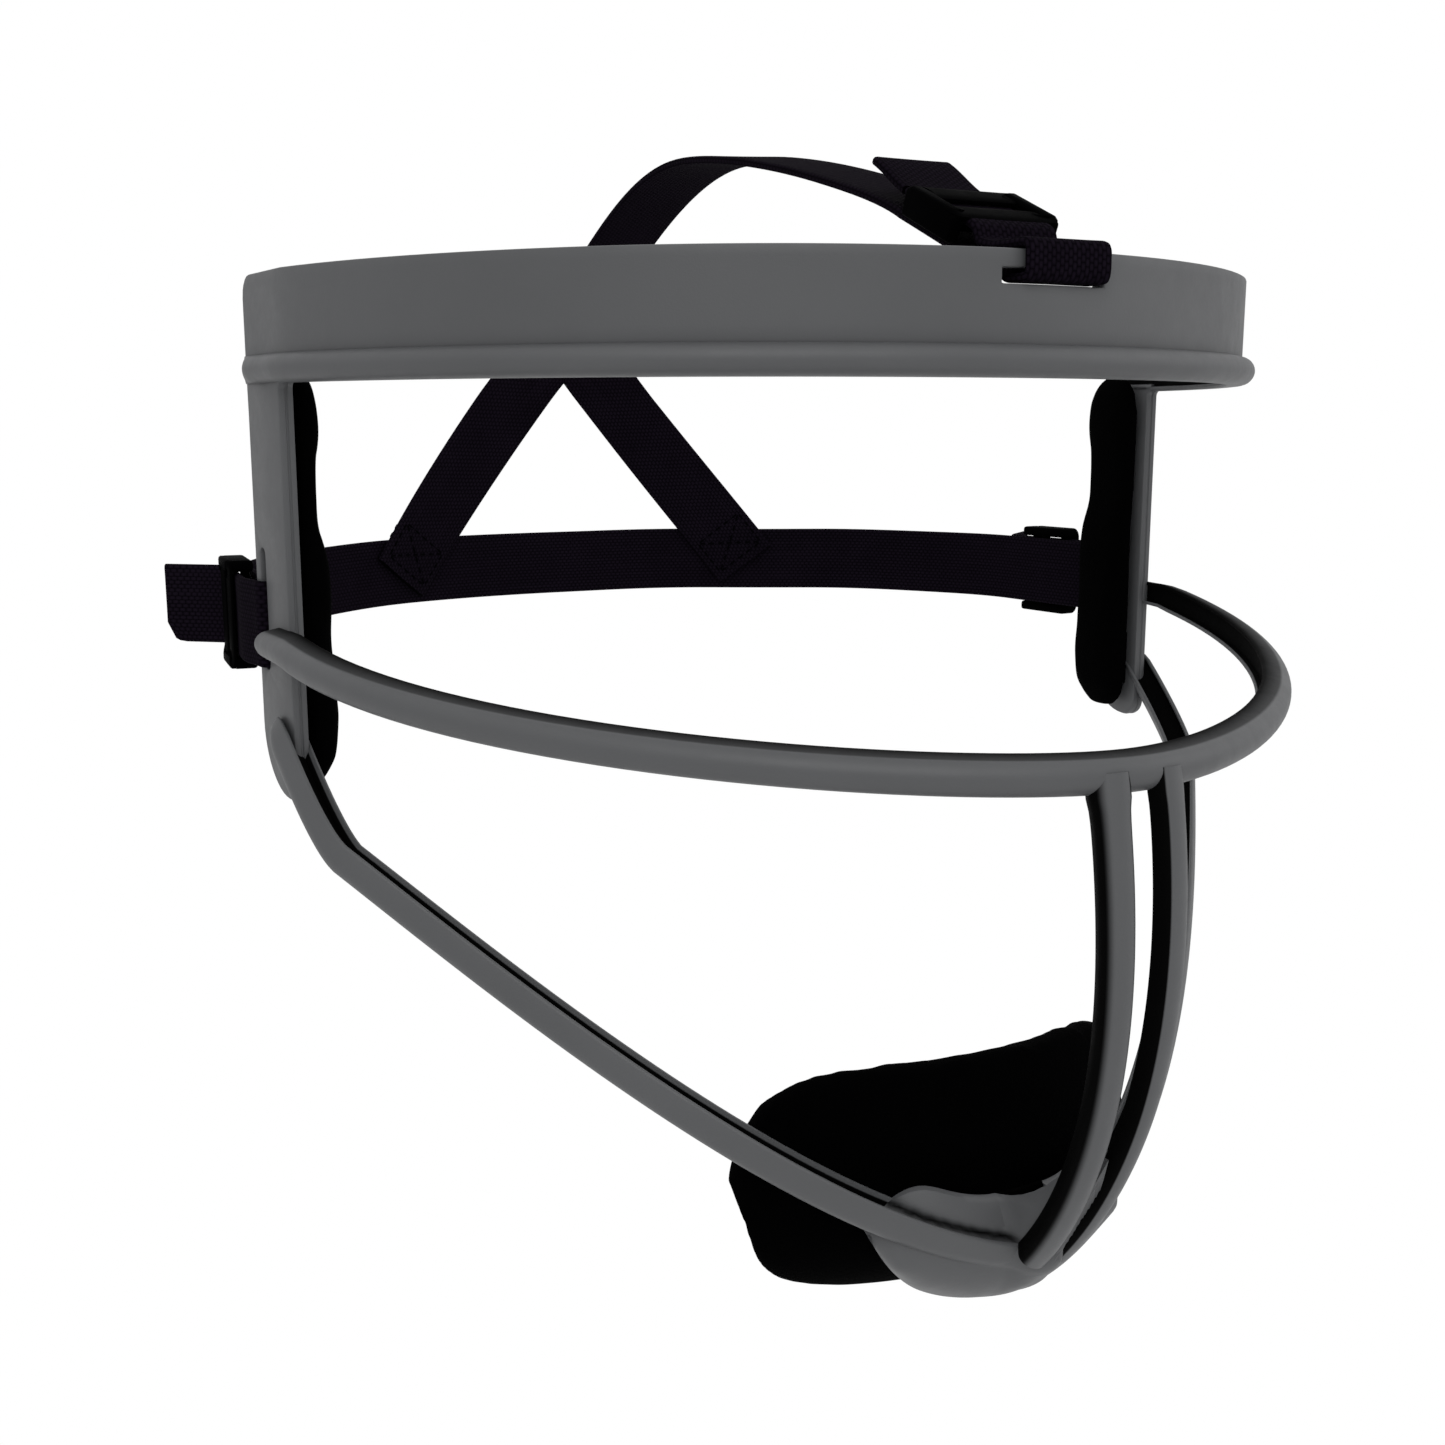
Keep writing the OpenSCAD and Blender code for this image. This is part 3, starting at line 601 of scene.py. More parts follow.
def place(piece: bpy.types.Object, slot: str, body: str, *nodes: str) -> bpy.types.Object:
    """Attaches a piece to the body that it moves with, and hides the CAD nodes that it stands for.

    Args:
        piece: the piece.
        slot: not used.
        body: the body that it moves with.
        nodes: CAD nodes that it stands for.

    Returns:
        The piece.
    """
    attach(piece, body)
    if nodes:
        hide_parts(*nodes)
    return piece


def closed(rows: Sequence[Row], dark: Sequence[float] | None = None) -> Mesher:
    """Args: rows, dark: rings of points, and the dark share along one. Returns: them skinned and capped."""
    mesher = Mesher()
    mesher.skin(rows, around=True, dark=dark, caps=True)
    return mesher


def finished(mesher: Mesher, name: str, finish: Finish, crease: float, body: str,
             *nodes: str) -> bpy.types.Object:
    """Turns a mesh into a piece, attaches it to its body and hides the CAD nodes that it stands for.

    Args:
        mesher: holds its form.
        name: its name.
        finish: its finish.
        crease: turn in degrees past which an edge shows as sharp.
        body: the body that it moves with.
        nodes: CAD nodes that it stands for.

    Returns:
        The piece.
    """
    return place(mesher.piece(name, finish, crease), finish.slot, body, *nodes)


class Side(Enum):
    """Wearer's side."""

    RIGHT = -1
    LEFT = 1

    @property
    def word(self) -> str:
        """Returns: the side's name."""
        return self.name.lower()

    def flip(self, points: Iterable[Vector]) -> Row:
        """Args: points: points on the wearer's left. Returns: them on this side."""
        return list(points) if self is Side.LEFT else mirrored(points)


# ---------------------------------------------------------------- moulded guard
@dataclass(frozen=True)
class Plan:
    """The band's outline seen from above, and the sizes that several pieces share."""

    front_r: float = 92.8
    front_y: float = 6.0
    temple_r: float = 131.0
    front_angle: float = 45.0
    temple_angle: float = 74.0
    side_heading: float = 84.5
    side_length: float = 21.0
    wall: float = 2.8
    band_top: float = 19.1
    upright_h: float = 75.0
    upright_front: float = 3.4
    slot_w: float = 2.8
    post: float = 2.8
    strap_slot_z: float = -40.7
    strap_z: float = -43.6
    chin_z: float = -144.5
    chin_reach: float = 87.0

    @staticmethod
    def heading(angle: float) -> Vector:
        """Args: angle: degrees round from the front. Returns: the outward direction there."""
        c, s = cos_sin(angle)
        return Vector((s, -c, 0))

    @property
    def temple_c(self) -> Vector:
        """Returns: middle of the temple arc."""
        out = self.heading(self.front_angle)
        return Vector((0, self.front_y, 0)) + (self.front_r - self.temple_r) * out

    @property
    def side_start(self) -> Vector:
        """Returns: where the straight side wall starts, on its outer face."""
        return self.temple_c + self.temple_r * self.heading(self.temple_angle)

    @property
    def side_dir(self) -> Vector:
        """Returns: direction back along the side wall."""
        return Vector((*cos_sin(self.side_heading), 0))

    @property
    def side_out(self) -> Vector:
        """Returns: direction out of the side wall."""
        return self.heading(self.side_heading)

    @property
    def slot_x(self) -> float:
        """Returns: how far back the middle of the back strap's slot lies."""
        return self.side_length - self.post - self.slot_w / 2

    def from_end(self, p: Vector) -> float:
        """Args: p: a station of either side. Returns: its distance from its rear end."""
        end = self.side_start + self.side_length * self.side_dir
        return (Vector((abs(p.x), p.y, 0)) - end).length

    def half(self, step: float, tail: Sequence[float]) -> list[tuple[Vector, Vector]]:
        """Stations on the wearer's left, from the middle to the rear end.

        Args:
            step: degrees between stations.
            tail: distances of the last stations from the rear end, falling.

        Returns:
            Point and outward vector of each station.
        """
        out: list[tuple[Vector, Vector]] = []
        count = round(self.front_angle / step)
        for i in range(count + 1):
            n = self.heading(self.front_angle * i / count)
            out.append((Vector((0, self.front_y, 0)) + self.front_r * n, n))
        span = self.temple_angle - self.front_angle
        count = round(span / step)
        for i in range(1, count + 1):
            n = self.heading(self.front_angle + span * i / count)
            p = self.temple_c + self.temple_r * n
            if i == count:
                mid = (n + self.side_out).normalized()
                n = mid / mid.dot(self.side_out)
            out.append((p, n))
        for back in tail:
            out.append((self.side_start + (self.side_length - back) * self.side_dir, self.side_out))
        return out

    def whole(self, step: float, tail: Sequence[float]) -> list[tuple[Vector, Vector]]:
        """Args: step, tail: as for half. Returns: the stations from the right rear end to the left one."""
        half = self.half(step, tail)
        flipped = [(mirrored([p])[0], mirrored([n])[0]) for p, n in half[:0:-1]]
        return flipped + half

    def on_wall(self, back: float, up: float, out: float) -> Vector:
        """A point by the side wall on the wearer's left.

        Args:
            back: distance back from the wall's start.
            up: height.
            out: distance outside its outer face.

        Returns:
            The point.
        """
        p = self.side_start + back * self.side_dir + out * self.side_out
        return Vector((p.x, p.y, up))


PLAN = Plan()


@dataclass(frozen=True)
class Band:
    """Tall band round the forehead, with the crown strap's slot."""

    low: float = 4.2
    corner: float = 4.0
    bend_from: float = 10.0
    edge: float = 0.55
    slot_w: float = 19.6
    slot_h: float = 2.4
    lip: float = 2.8

    def build(self) -> bpy.types.Object:
        """Returns: the band."""
        half_turn = math.degrees(self.slot_w / 2 / PLAN.front_r)
        stations = PLAN.whole(2.5, [17, 13, 10, 7, 5, self.corner, 2.9, 1.8, 0.9, 0.35, 0])
        near = sorted(range(len(stations)), key=lambda i: abs(abs(stations[i][0].x) - self.slot_w / 2))[:2]
        for i in near:
            sign = math.copysign(1, stations[i][0].x)
            n = PLAN.heading(sign * half_turn)
            stations[i] = (Vector((0, PLAN.front_y, 0)) + PLAN.front_r * n, n)
        top = PLAN.band_top
        slot_top = top - self.lip
        heights = [self.low, 7.5, 10.5, slot_top - self.slot_h, slot_top, 17.4, top]
        mesher = Mesher()
        rows = []
        for p, _ in stations:
            inward = max(0, self.corner - PLAN.from_end(p))
            drop = self.corner - math.sqrt(max(0, self.corner**2 - inward**2))
            bend = [smooth((z - self.bend_from) / (top - self.bend_from)) for z in heights]
            rows.append([Vector((p.x, p.y, z - drop * share)) for z, share in zip(heights, bend)])
        inside = [abs(p.x) < self.slot_w / 2 + 0.01 for p, _ in stations]
        mesher.skin(rows, skip=lambda i, k: k == 3 and inside[i] and inside[i + 1])
        mesher.thicken(PLAN.wall)
        mesher.soften(self.edge)
        return finished(mesher, "forehead band", Finish.FRAME, CREASE, "mask", "forehead_band")


@dataclass(frozen=True)
class Rail:
    """Round rail along the band's lower edge, with a dark channel inside."""

    height: float = 5.0
    proud: float = 2.4
    channel_h: float = 2.9
    channel_d: float = 0.9
    fade: float = 7.0
    end_share: float = 0.12

    def section(self) -> tuple[Flat, list[float]]:
        """Returns: the section as out and up, and its dark mask."""
        r = self.height / 2
        low = r - self.channel_h / 2
        wall = PLAN.wall
        points = [(self.proud - r + r * c, r + r * s) for c, s in map(cos_sin, range(-90, 91, 12))]
        dark = [0.0] * len(points)
        inner = [(-wall + 0.3, 0.0, 0.0), (-wall, 0.35, 0.0), (-wall, low - 0.15, 0.0),
                 (-wall + 0.12, low, 1.0), (-wall + self.channel_d, low + 0.15, 1.0)]
        rise = [(out, self.height - up, mask) for out, up, mask in inner]
        for out, up, mask in rise + inner[::-1]:
            points.append((out, up))
            dark.append(mask)
        return points, dark

    def build(self) -> bpy.types.Object:
        """Returns: the rail."""
        stations = PLAN.whole(2.5, [17, 13, 10.5, 8.5, 7, 5.6, 4.2, 3, 2, 1.2, 0.5, 0])
        points, dark = self.section()
        rows = []
        for p, n in stations:
            share = self.end_share + (1 - self.end_share) * math.sqrt(smooth(PLAN.from_end(p) / self.fade))
            rows.append([Vector((p.x, p.y, up)) + n * (out * share if out > 0 else out)
                         for out, up in points])
        return finished(closed(rows, dark), "brow rail", Finish.FRAME, CREASE, "mask", "brow_rail")


@dataclass(frozen=True)
class Upright:
    """Flat side plate with the back strap's slot and a groove round its edge."""

    rear_r: float = 13.0
    front_r: float = 4.0
    root_r: float = 1.2
    slot_h: float = 22.4
    under_rail: float = 1.6

    @staticmethod
    def arc(x: float, y: float, r: float, a: float, b: float, count: int) -> Flat:
        """Args: x, y, r, a, b, count: middle, radius, start and end angle, steps. Returns: the arc."""
        turns = (cos_sin(a + (b - a) * i / count) for i in range(count + 1))
        return [(x + r * c, y + r * s) for c, s in turns]

    def outline(self) -> Flat:
        """Returns: the plate's outline as back and up, turning left."""
        low, back, front = -PLAN.upright_h, PLAN.side_length, PLAN.upright_front
        fall = low + self.root_r + self.front_r
        edge = [(front, -self.root_r + fall * i / 12) for i in range(1, 12)]
        rise = [(back, low + self.rear_r - (low + self.rear_r) * i / 12) for i in range(1, 12)]
        return (self.arc(front - self.root_r, -self.root_r, self.root_r, 90, 0, 6) + edge
                + self.arc(front + self.front_r, low + self.front_r, self.front_r, 180, 270, 7)
                + self.arc(back - self.rear_r, low + self.rear_r, self.rear_r, 270, 360, 12) + rise
                + [(x, self.under_rail) for x in (back, (back + front) / 2, front - self.root_r)])

    def slot(self) -> Flat:
        """Returns: the slot's outline as back and up, turning right."""
        x, z, r = PLAN.slot_x, PLAN.strap_slot_z, PLAN.slot_w / 2
        reach = self.slot_h / 2 - r
        return self.arc(x, z + reach, r, 180, 0, 8) + self.arc(x, z - reach, r, 0, -180, 8)

    @staticmethod
    def inset(points: Flat, depth: float) -> Flat:
        """Args: points, depth: a closed outline and how far it moves to its left. Returns: it, moved."""
        out = []
        count = len(points)
        for i, p in enumerate(points):
            a, b = Vector(points[i - 1]), Vector(points[(i + 1) % count])
            d = (b - a).normalized()
            out.append((p[0] - d.y * depth, p[1] + d.x * depth))
        return out

    def build(self, side: Side) -> bpy.types.Object:
        """Args: side: which one. Returns: the plate."""
        layers = [(0, 0.5), (-0.14, 0.15), (-0.5, 0), (-1.15, 0), (-1.3, 0.2), (-1.6, 0.2), (-1.75, 0),
                  (-2.3, 0), (-2.66, 0.15), (-2.8, 0.5)]
        mesher = Mesher()
        grids = []
        for shape in (self.outline(), self.slot()):
            rows = [side.flip(PLAN.on_wall(x, y, out) for x, y in self.inset(shape, depth))
                    for out, depth in layers]
            grids.append(mesher.skin(rows, around=True))
        for level in (0, -1):
            rims = [grid[level] for grid in grids]
            edges = [mesher.bm.edges.get(pair) for rim in rims for pair in zip(rim, rim[1:] + rim[:1])]
            bmesh.ops.triangle_fill(mesher.bm, edges=edges, use_beauty=True)
        return finished(mesher, f"upright {side.word}", Finish.FRAME, CREASE, "mask", f"upright_{side.word}")


@dataclass(frozen=True)
class BarSection:
    """Section of a bar: round outside, with a dark channel between two rims on the wearer's side.

    The dark colour starts dark_up and dark_down degrees from the outward direction and comes in over soft_up
    and soft_down degrees. Lit is how deep the channel's walls stay light, and upper the least mask of the
    upper rim. In the channel the dark colour is black paint; over the cheek bar's top and upper rim it is
    painted shade.
    """

    width: float
    depth: float
    rim: float
    channel: float
    flat: float = 0.94
    dark_up: float = 200.0
    dark_down: float = 200.0
    soft_up: float = 6.0
    soft_down: float = 20.0
    lit: float = 0.1
    upper: float = 0.0

    def mask(self, turn: float) -> float:
        """Args: turn: degrees from the outward direction. Returns: share of the dark finish there."""
        return max(smooth((turn - self.dark_up) / self.soft_up),
                   smooth((-turn - self.dark_down) / self.soft_down))

    def points(self) -> tuple[Flat, list[float]]:
        """Returns: the section as out and across, and its dark mask."""
        half, deep = self.width / 2, self.depth / 2
        rim, floor = half - self.rim, self.lit - deep
        bulge = half * self.flat
        turns = {*range(-90, 91, 10), self.dark_up, self.dark_up + self.soft_up, -self.dark_down,
                 -self.dark_down - self.soft_down / 2, -self.dark_down - self.soft_down}
        points, dark = [], []
        for a in sorted(a for a in turns if abs(a) <= 90):
            c, s = cos_sin(a)
            points.append((deep - bulge + bulge * c, half * s))
            dark.append(self.mask(a))
        edge = [(-deep + 0.5, half, 0), (-deep + 0.13, half - 0.12, 0), (-deep, half - 0.34, 0),
                (-deep + 0.06, rim + 0.08, 0), (floor + 0.15, rim, 0), (floor + 0.35, rim - 0.03, 1),
                (-deep + self.channel, rim - 0.15, 1)]
        upper, lower = max(self.upper, self.mask(90)), self.mask(-90)
        for out, across, mask in edge:
            points.append((out, across))
            dark.append(max(mask, upper))
        for out, across, mask in edge[::-1]:
            points.append((out, -across))
            dark.append(max(mask, lower))
        return points, dark


@dataclass(frozen=True)
class Bar:
    """A bar swept along a path on the wearer's left, then flipped to its own side."""

    name: str
    section: BarSection
    path: Row
    outward: Row
    swell: Flat
    side: Side = Side.LEFT

    def build(self) -> bpy.types.Object:
        """Returns: the bar."""
        points, dark = self.section.points()
        rows = []
        for p, t, out, (wide, deep) in zip(self.path, tangents(self.path), self.outward, self.swell):
            o = (out - out.dot(t) * t).normalized()
            s = t.cross(o)
            rows.append(self.side.flip(p + o * (a * deep) + s * (b * wide) for a, b in points))
        name = self.name.replace("_", " ")
        return finished(closed(rows, dark), name, Finish.FRAME, ROUND_CREASE, "mask", self.name)


@dataclass(frozen=True)
class Guard:
    """The open front: cheek bar, centre bars, jaw bars and chin plate."""

    bar_w: float = 5.7
    bar_d: float = 5.8
    cheek_z: float = -46.8
    cheek_drop: float = 11.2
    cheek_reach: float = 109.0
    centre_x: float = 5.6
    centre_w: float = 5.0
    centre_d: float = 4.5
    centre_turn: float = 24.0
    bar_lean: float = 1.3
    cap_turn: tuple[float, float, float] = (0.485, 0.242, -0.84)
    plate_half: float = 29.0
    plate_share: float = 0.925
    plate_t: float = 2.6
    plate_rise: float = 10.3
    plate_drop: float = 14.4
    tip_rise: float = 4.3
    leaf: float = 2.3
    dip: float = 0.8
    web_half: float = 0.17
    web_forward: float = 17.0
    web_rise: float = 14.0
    rib: float = 0.8
    rib_half: float = 2.5
    groove: float = 0.5
    groove_up: float = 2.7
    groove_w: float = 0.75

    @property
    def on_side(self) -> float:
        """Returns: how far out a bar's middle lies on an upright."""
        return PLAN.side_start.x + self.bar_d / 2 - PLAN.wall * 0.55

    def cheek(self) -> bpy.types.Object:
        """Returns: the cheek bar."""
        x, y = self.on_side, PLAN.side_start.y
        mid_z = self.cheek_z - self.cheek_drop
        start = [Vector((x + 1.2, y + back, self.cheek_z + 0.6)) for back in (14, 13.6, 13, 12, 10.6, 9)]
        curve = [Vector((x + 0.3, y - 2, self.cheek_z + 0.2)),
                 Vector((x - 4.9, -self.cheek_reach * 0.555, self.cheek_z - self.cheek_drop * 0.79)),
                 Vector((31.5, -self.cheek_reach, mid_z)), Vector((0, -self.cheek_reach, mid_z))]
        half = start + [bezier(curve, i / 40) for i in range(41)]
        path = half + mirrored(half[-2::-1])
        outward = [Vector((p.x, p.y, 0)).normalized() - 0.2 * UP for p in path]
        ends = [(0.12, 0.3), (0.36, 0.45), (0.52, 0.6), (0.66, 0.75), (0.78, 0.88), (0.87, 0.95), (0.95, 1)]
        swell = ends + [(1.0, 1.0)] * (len(path) - 2 * len(ends)) + ends[::-1]
        # the loft runs from the wearer's left to the right, so its upper mask lies on top; this dark over the
        # bar's top and upper rim is painted shade
        section = BarSection(self.bar_w, self.bar_d, 0.8, 1.4, dark_up=78, soft_up=20, upper=1.0)
        return Bar("cheek_bar", section, path, outward, swell).build()

    @property
    def centre_path(self) -> Row:
        """Returns: middle of the left centre bar, from the cheek bar down."""
        mid_z = self.cheek_z - self.cheek_drop
        curve = [Vector((self.centre_x, -self.cheek_reach - 2, mid_z + 0.5)),
                 Vector((self.centre_x, -self.cheek_reach - 8.5, mid_z - 28)),
                 Vector((self.centre_x * 0.75, -self.cheek_reach - 4, PLAN.chin_z + 25)),
                 Vector((self.centre_w / 2 + 0.3, -PLAN.chin_reach - 6, PLAN.chin_z + 1.5))]
        return [bezier(curve, i / 48) for i in range(49)]

    def centre(self, side: Side) -> bpy.types.Object:
        """Args: side: which one. Returns: a centre bar."""
        path = [p + Vector((0, self.bar_lean * (1 - smooth(i / 32)), 0))
                for i, p in enumerate(self.centre_path)]
        swell = []
        for i, p in enumerate(path):
            fillet = 0.16 * math.exp(-(max(0.0, path[0].z - 3.6 - p.z) / 1.6))
            slim = 1 + 0.13 * (1 - smooth(i / 44))
            swell.append((slim + fillet, 0.93))
        outward = [PLAN.heading(self.centre_turn)] * len(path)
        section = BarSection(self.centre_w, self.centre_d, 0.6, 1.1, dark_up=58, dark_down=14,
                             soft_up=7, soft_down=32)
        return Bar(f"centre_bar_{side.word}", section, path, outward, swell, side).build()

    @property
    def jaw_path(self) -> Row:
        """Returns: middle of the left jaw bar, from the upright to the middle plane."""
        x, y = self.on_side, PLAN.side_start.y
        nose = PLAN.chin_reach + 1
        top = Vector((x, y + 11, -PLAN.upright_h + 14.4))
        knee = Vector((x - 4.8, y - 14.3, -PLAN.upright_h - 6.5))
        bend = [top, top + Vector((-0.4, -7.4, -5.6)), knee + Vector((2.6, 4.1, 3.2)), knee]
        run = [knee, knee + Vector((-20.7, -24.2, -19.1)), Vector((35.4, -nose, PLAN.chin_z + 5.2)),
               Vector((0, -nose, PLAN.chin_z))]
        return [bezier(bend, i / 20) for i in range(20)] + [bezier(run, i / 48) for i in range(49)]

    def jaw(self, side: Side) -> bpy.types.Object:
        """Args: side: which one. Returns: a jaw bar."""
        path = self.jaw_path
        outward = [Vector(self.cap_turn)] * len(path)
        blunt = [0.25, 0.58, 0.8, 0.93]
        swell = [(share, share) for share in blunt] + [(1.0, 1.0)] * (len(path) - len(blunt))
        section = BarSection(self.bar_w, self.bar_d, 0.8, 1.9, lit=0.55)
        return Bar(f"jaw_bar_{side.word}", section, path, outward, swell, side).build()

    def plate_point(self, s: float, f: float) -> Vector:
        """A point of the chin plate's outer face.

        Args:
            s: share of the half length, -1 to 1.
            f: share of the way from the top edge to the low edge.

        Returns:
            The point.
        """
        x, a = self.plate_half * s, abs(s)
        back = 0.011 * x * x - PLAN.chin_reach
        web = max(0.0, 1 - a / self.web_half)
        rise = (self.plate_rise + self.web_rise * web**2.2 + self.leaf * hump(a, 0.65, 0.19)
                - self.dip * hump(a, 0.2, 0.18) - 9.5 * a**8)
        fall = min(self.tip_rise, 22.5 * a**2.25 - self.plate_drop)
        top = Vector((x, back + 0.6 - self.web_forward * web**1.2, PLAN.chin_z + rise))
        mid = Vector((x, back - 7 - 5 * (1 - a) ** 2, PLAN.chin_z - 7 * (1 - s * s)))
        low = Vector((x, 13 - 8 * s * s - PLAN.chin_reach, PLAN.chin_z + fall))
        # near its ends the plate is flat, or its middle would stand past both edges
        mid = mid.lerp((top + low) / 2, smooth((a - 0.78) / 0.15))
        return (1 - f) ** 2 * top + 2 * f * (1 - f) * mid + f * f * low

    def plate_relief(self, p: Vector) -> tuple[Vector, float]:
        """Carries the jaw bars' rib and groove over the plate and its web forward between the centre bars.

        Args:
            p: a point of the plain outer face.

        Returns:
            The moved point and its share of the dark finish.
        """
        x = abs(p.x)
        rise = p.z - lookup(-x, [(-q.x, q.z) for q in self.jaw_path[30:]])
        near = 1 - smooth((x - 10) / 4)
        rib = self.rib * near * round_end(rise / self.rib_half, 2)
        along = (1 - smooth((x - 25) / 3)) * smooth((x - 3.2) / 1.2)
        groove = along * hump(rise, self.groove_up, self.groove_w)
        front = lookup(-p.z, [(-q.z, q.y) for q in self.centre_path]) - self.centre_d / 2
        above = p.z - PLAN.chin_z
        gap = front + 0.7 + 0.8 * smooth((above - 2) / 10) - p.y
        forward = (1 - smooth((x - 2.4) / 1.6)) * min(0.0, gap) * smooth(above / 4)
        return p + Vector((0, self.groove * groove - rib + forward, 0)), groove

    def plate(self) -> bpy.types.Object:
        """Returns: the chin plate."""
        focus = Vector((0, -45, -118))
        across, down = 84, 54
        mesher = Mesher()
        rows, masks = [], []
        for i in range(across + 1):
            s = 2 * i / across - 1
            end = 0.35 + 0.65 * round_end(s, 12)
            plain = [self.plate_point(self.plate_share * s, k / down) for k in range(down + 1)]
            outer = [self.plate_relief(p) for p in plain]
            behind = [p + self.plate_t * end * (0.4 + 0.6 * smooth(3 * k / down)) * (focus - p).normalized()
                      for k, p in reversed(list(enumerate(plain))[::3])]
            rows.append([p for p, _ in outer] + behind)
            masks.append([mask for _, mask in outer] + [0.0] * len(behind))
        for verts, row in zip(mesher.skin(rows, around=True, caps=True), masks):
            for v, mask in zip(verts, row):
                v[mesher.dark] = mask
        mesher.soften(0.4, sharpest=60)
        return finished(mesher, "chin plate", Finish.FRAME, CREASE, "mask", "chin_plate")

    def build(self) -> None:
        """Builds the whole front."""
        self.cheek()
        self.plate()
        for side in Side:
            self.centre(side)
            self.jaw(side)


# ---------------------------------------------------------------- pads
@dataclass(frozen=True)
class Cushion:
    """A foam pad: a closed form blown up a little with a cloth simulation."""

    name: str
    voxel: float
    cap: float
    pressure: float = 4.0
    fill: float = 0.8
    passes: int = 6
    frames: int = 20

    def build(self, rows: Sequence[Row]) -> bpy.types.Object:
        """Args: rows: rings of the pad's closed form. Returns: the pad."""
        piece = closed(rows).piece(self.name.replace("_", " "), Finish.PAD, NO_CREASE)
        self.blow_up(piece)
        place(piece, Finish.PAD.slot, "mask", self.name)
        return piece

    def remesh(self, piece: bpy.types.Object) -> None:
        """Args: piece: gets even faces over its whole surface."""
        change = piece.modifiers.new("even", "REMESH")
        change.mode = "VOXEL"
        change.voxel_size = self.voxel * MM
        self.apply(piece)

    @staticmethod
    def apply(piece: bpy.types.Object) -> None:
        """Args: piece: its modifiers become its mesh."""
        made = bpy.data.meshes.new_from_object(piece.evaluated_get(bpy.context.evaluated_depsgraph_get()))
        piece.modifiers.clear()
        old = piece.data
        piece.data = made
        made.name = piece.name
        bpy.data.meshes.remove(old)
        made.shade_smooth()

    def round_off(self, piece: bpy.types.Object) -> None:
        """Args: piece: rounded without a simulation."""
        self.remesh(piece)
        bm = bmesh.new()
        bm.from_mesh(piece.data)
        for _ in range(self.passes):
            bmesh.ops.smooth_vert(bm, verts=bm.verts, factor=0.5, use_axis_x=True, use_axis_y=True,
                                  use_axis_z=True)
        bm.to_mesh(piece.data)
        bm.free()

    def blow_up(self, piece: bpy.types.Object) -> None:
        """Args: piece: swells under pressure like filled cloth, no further than the cap."""
        self.round_off(piece)
        start = [v.co.copy() for v in piece.data.vertices]
        cloth = piece.modifiers.new("filled", "CLOTH")
        cloth.settings.effector_weights.gravity = 0
        settings = {"use_pressure": True, "uniform_pressure_force": self.pressure, "quality": 4, "mass": 0.15,
                    "tension_stiffness": 20, "compression_stiffness": 20, "bending_stiffness": 0.6}
        for key, value in settings.items():
            setattr(cloth.settings, key, value)
        cloth.point_cache.frame_start, cloth.point_cache.frame_end = 1, self.frames
        scene = bpy.context.scene
        for number in range(1, self.frames + 1):
            scene.frame_set(number)
        self.apply(piece)
        scene.frame_set(1)
        for v, p in zip(piece.data.vertices, start):
            move = v.co - p
            if move.length > self.cap * MM:
                v.co = p + move * (self.cap * MM / move.length)
        finer = piece.modifiers.new("finer", "SUBSURF")
        finer.levels = finer.render_levels = 1
        self.apply(piece)
        piece.data.materials.clear()
        piece.data.materials.append(Finish.PAD.material())


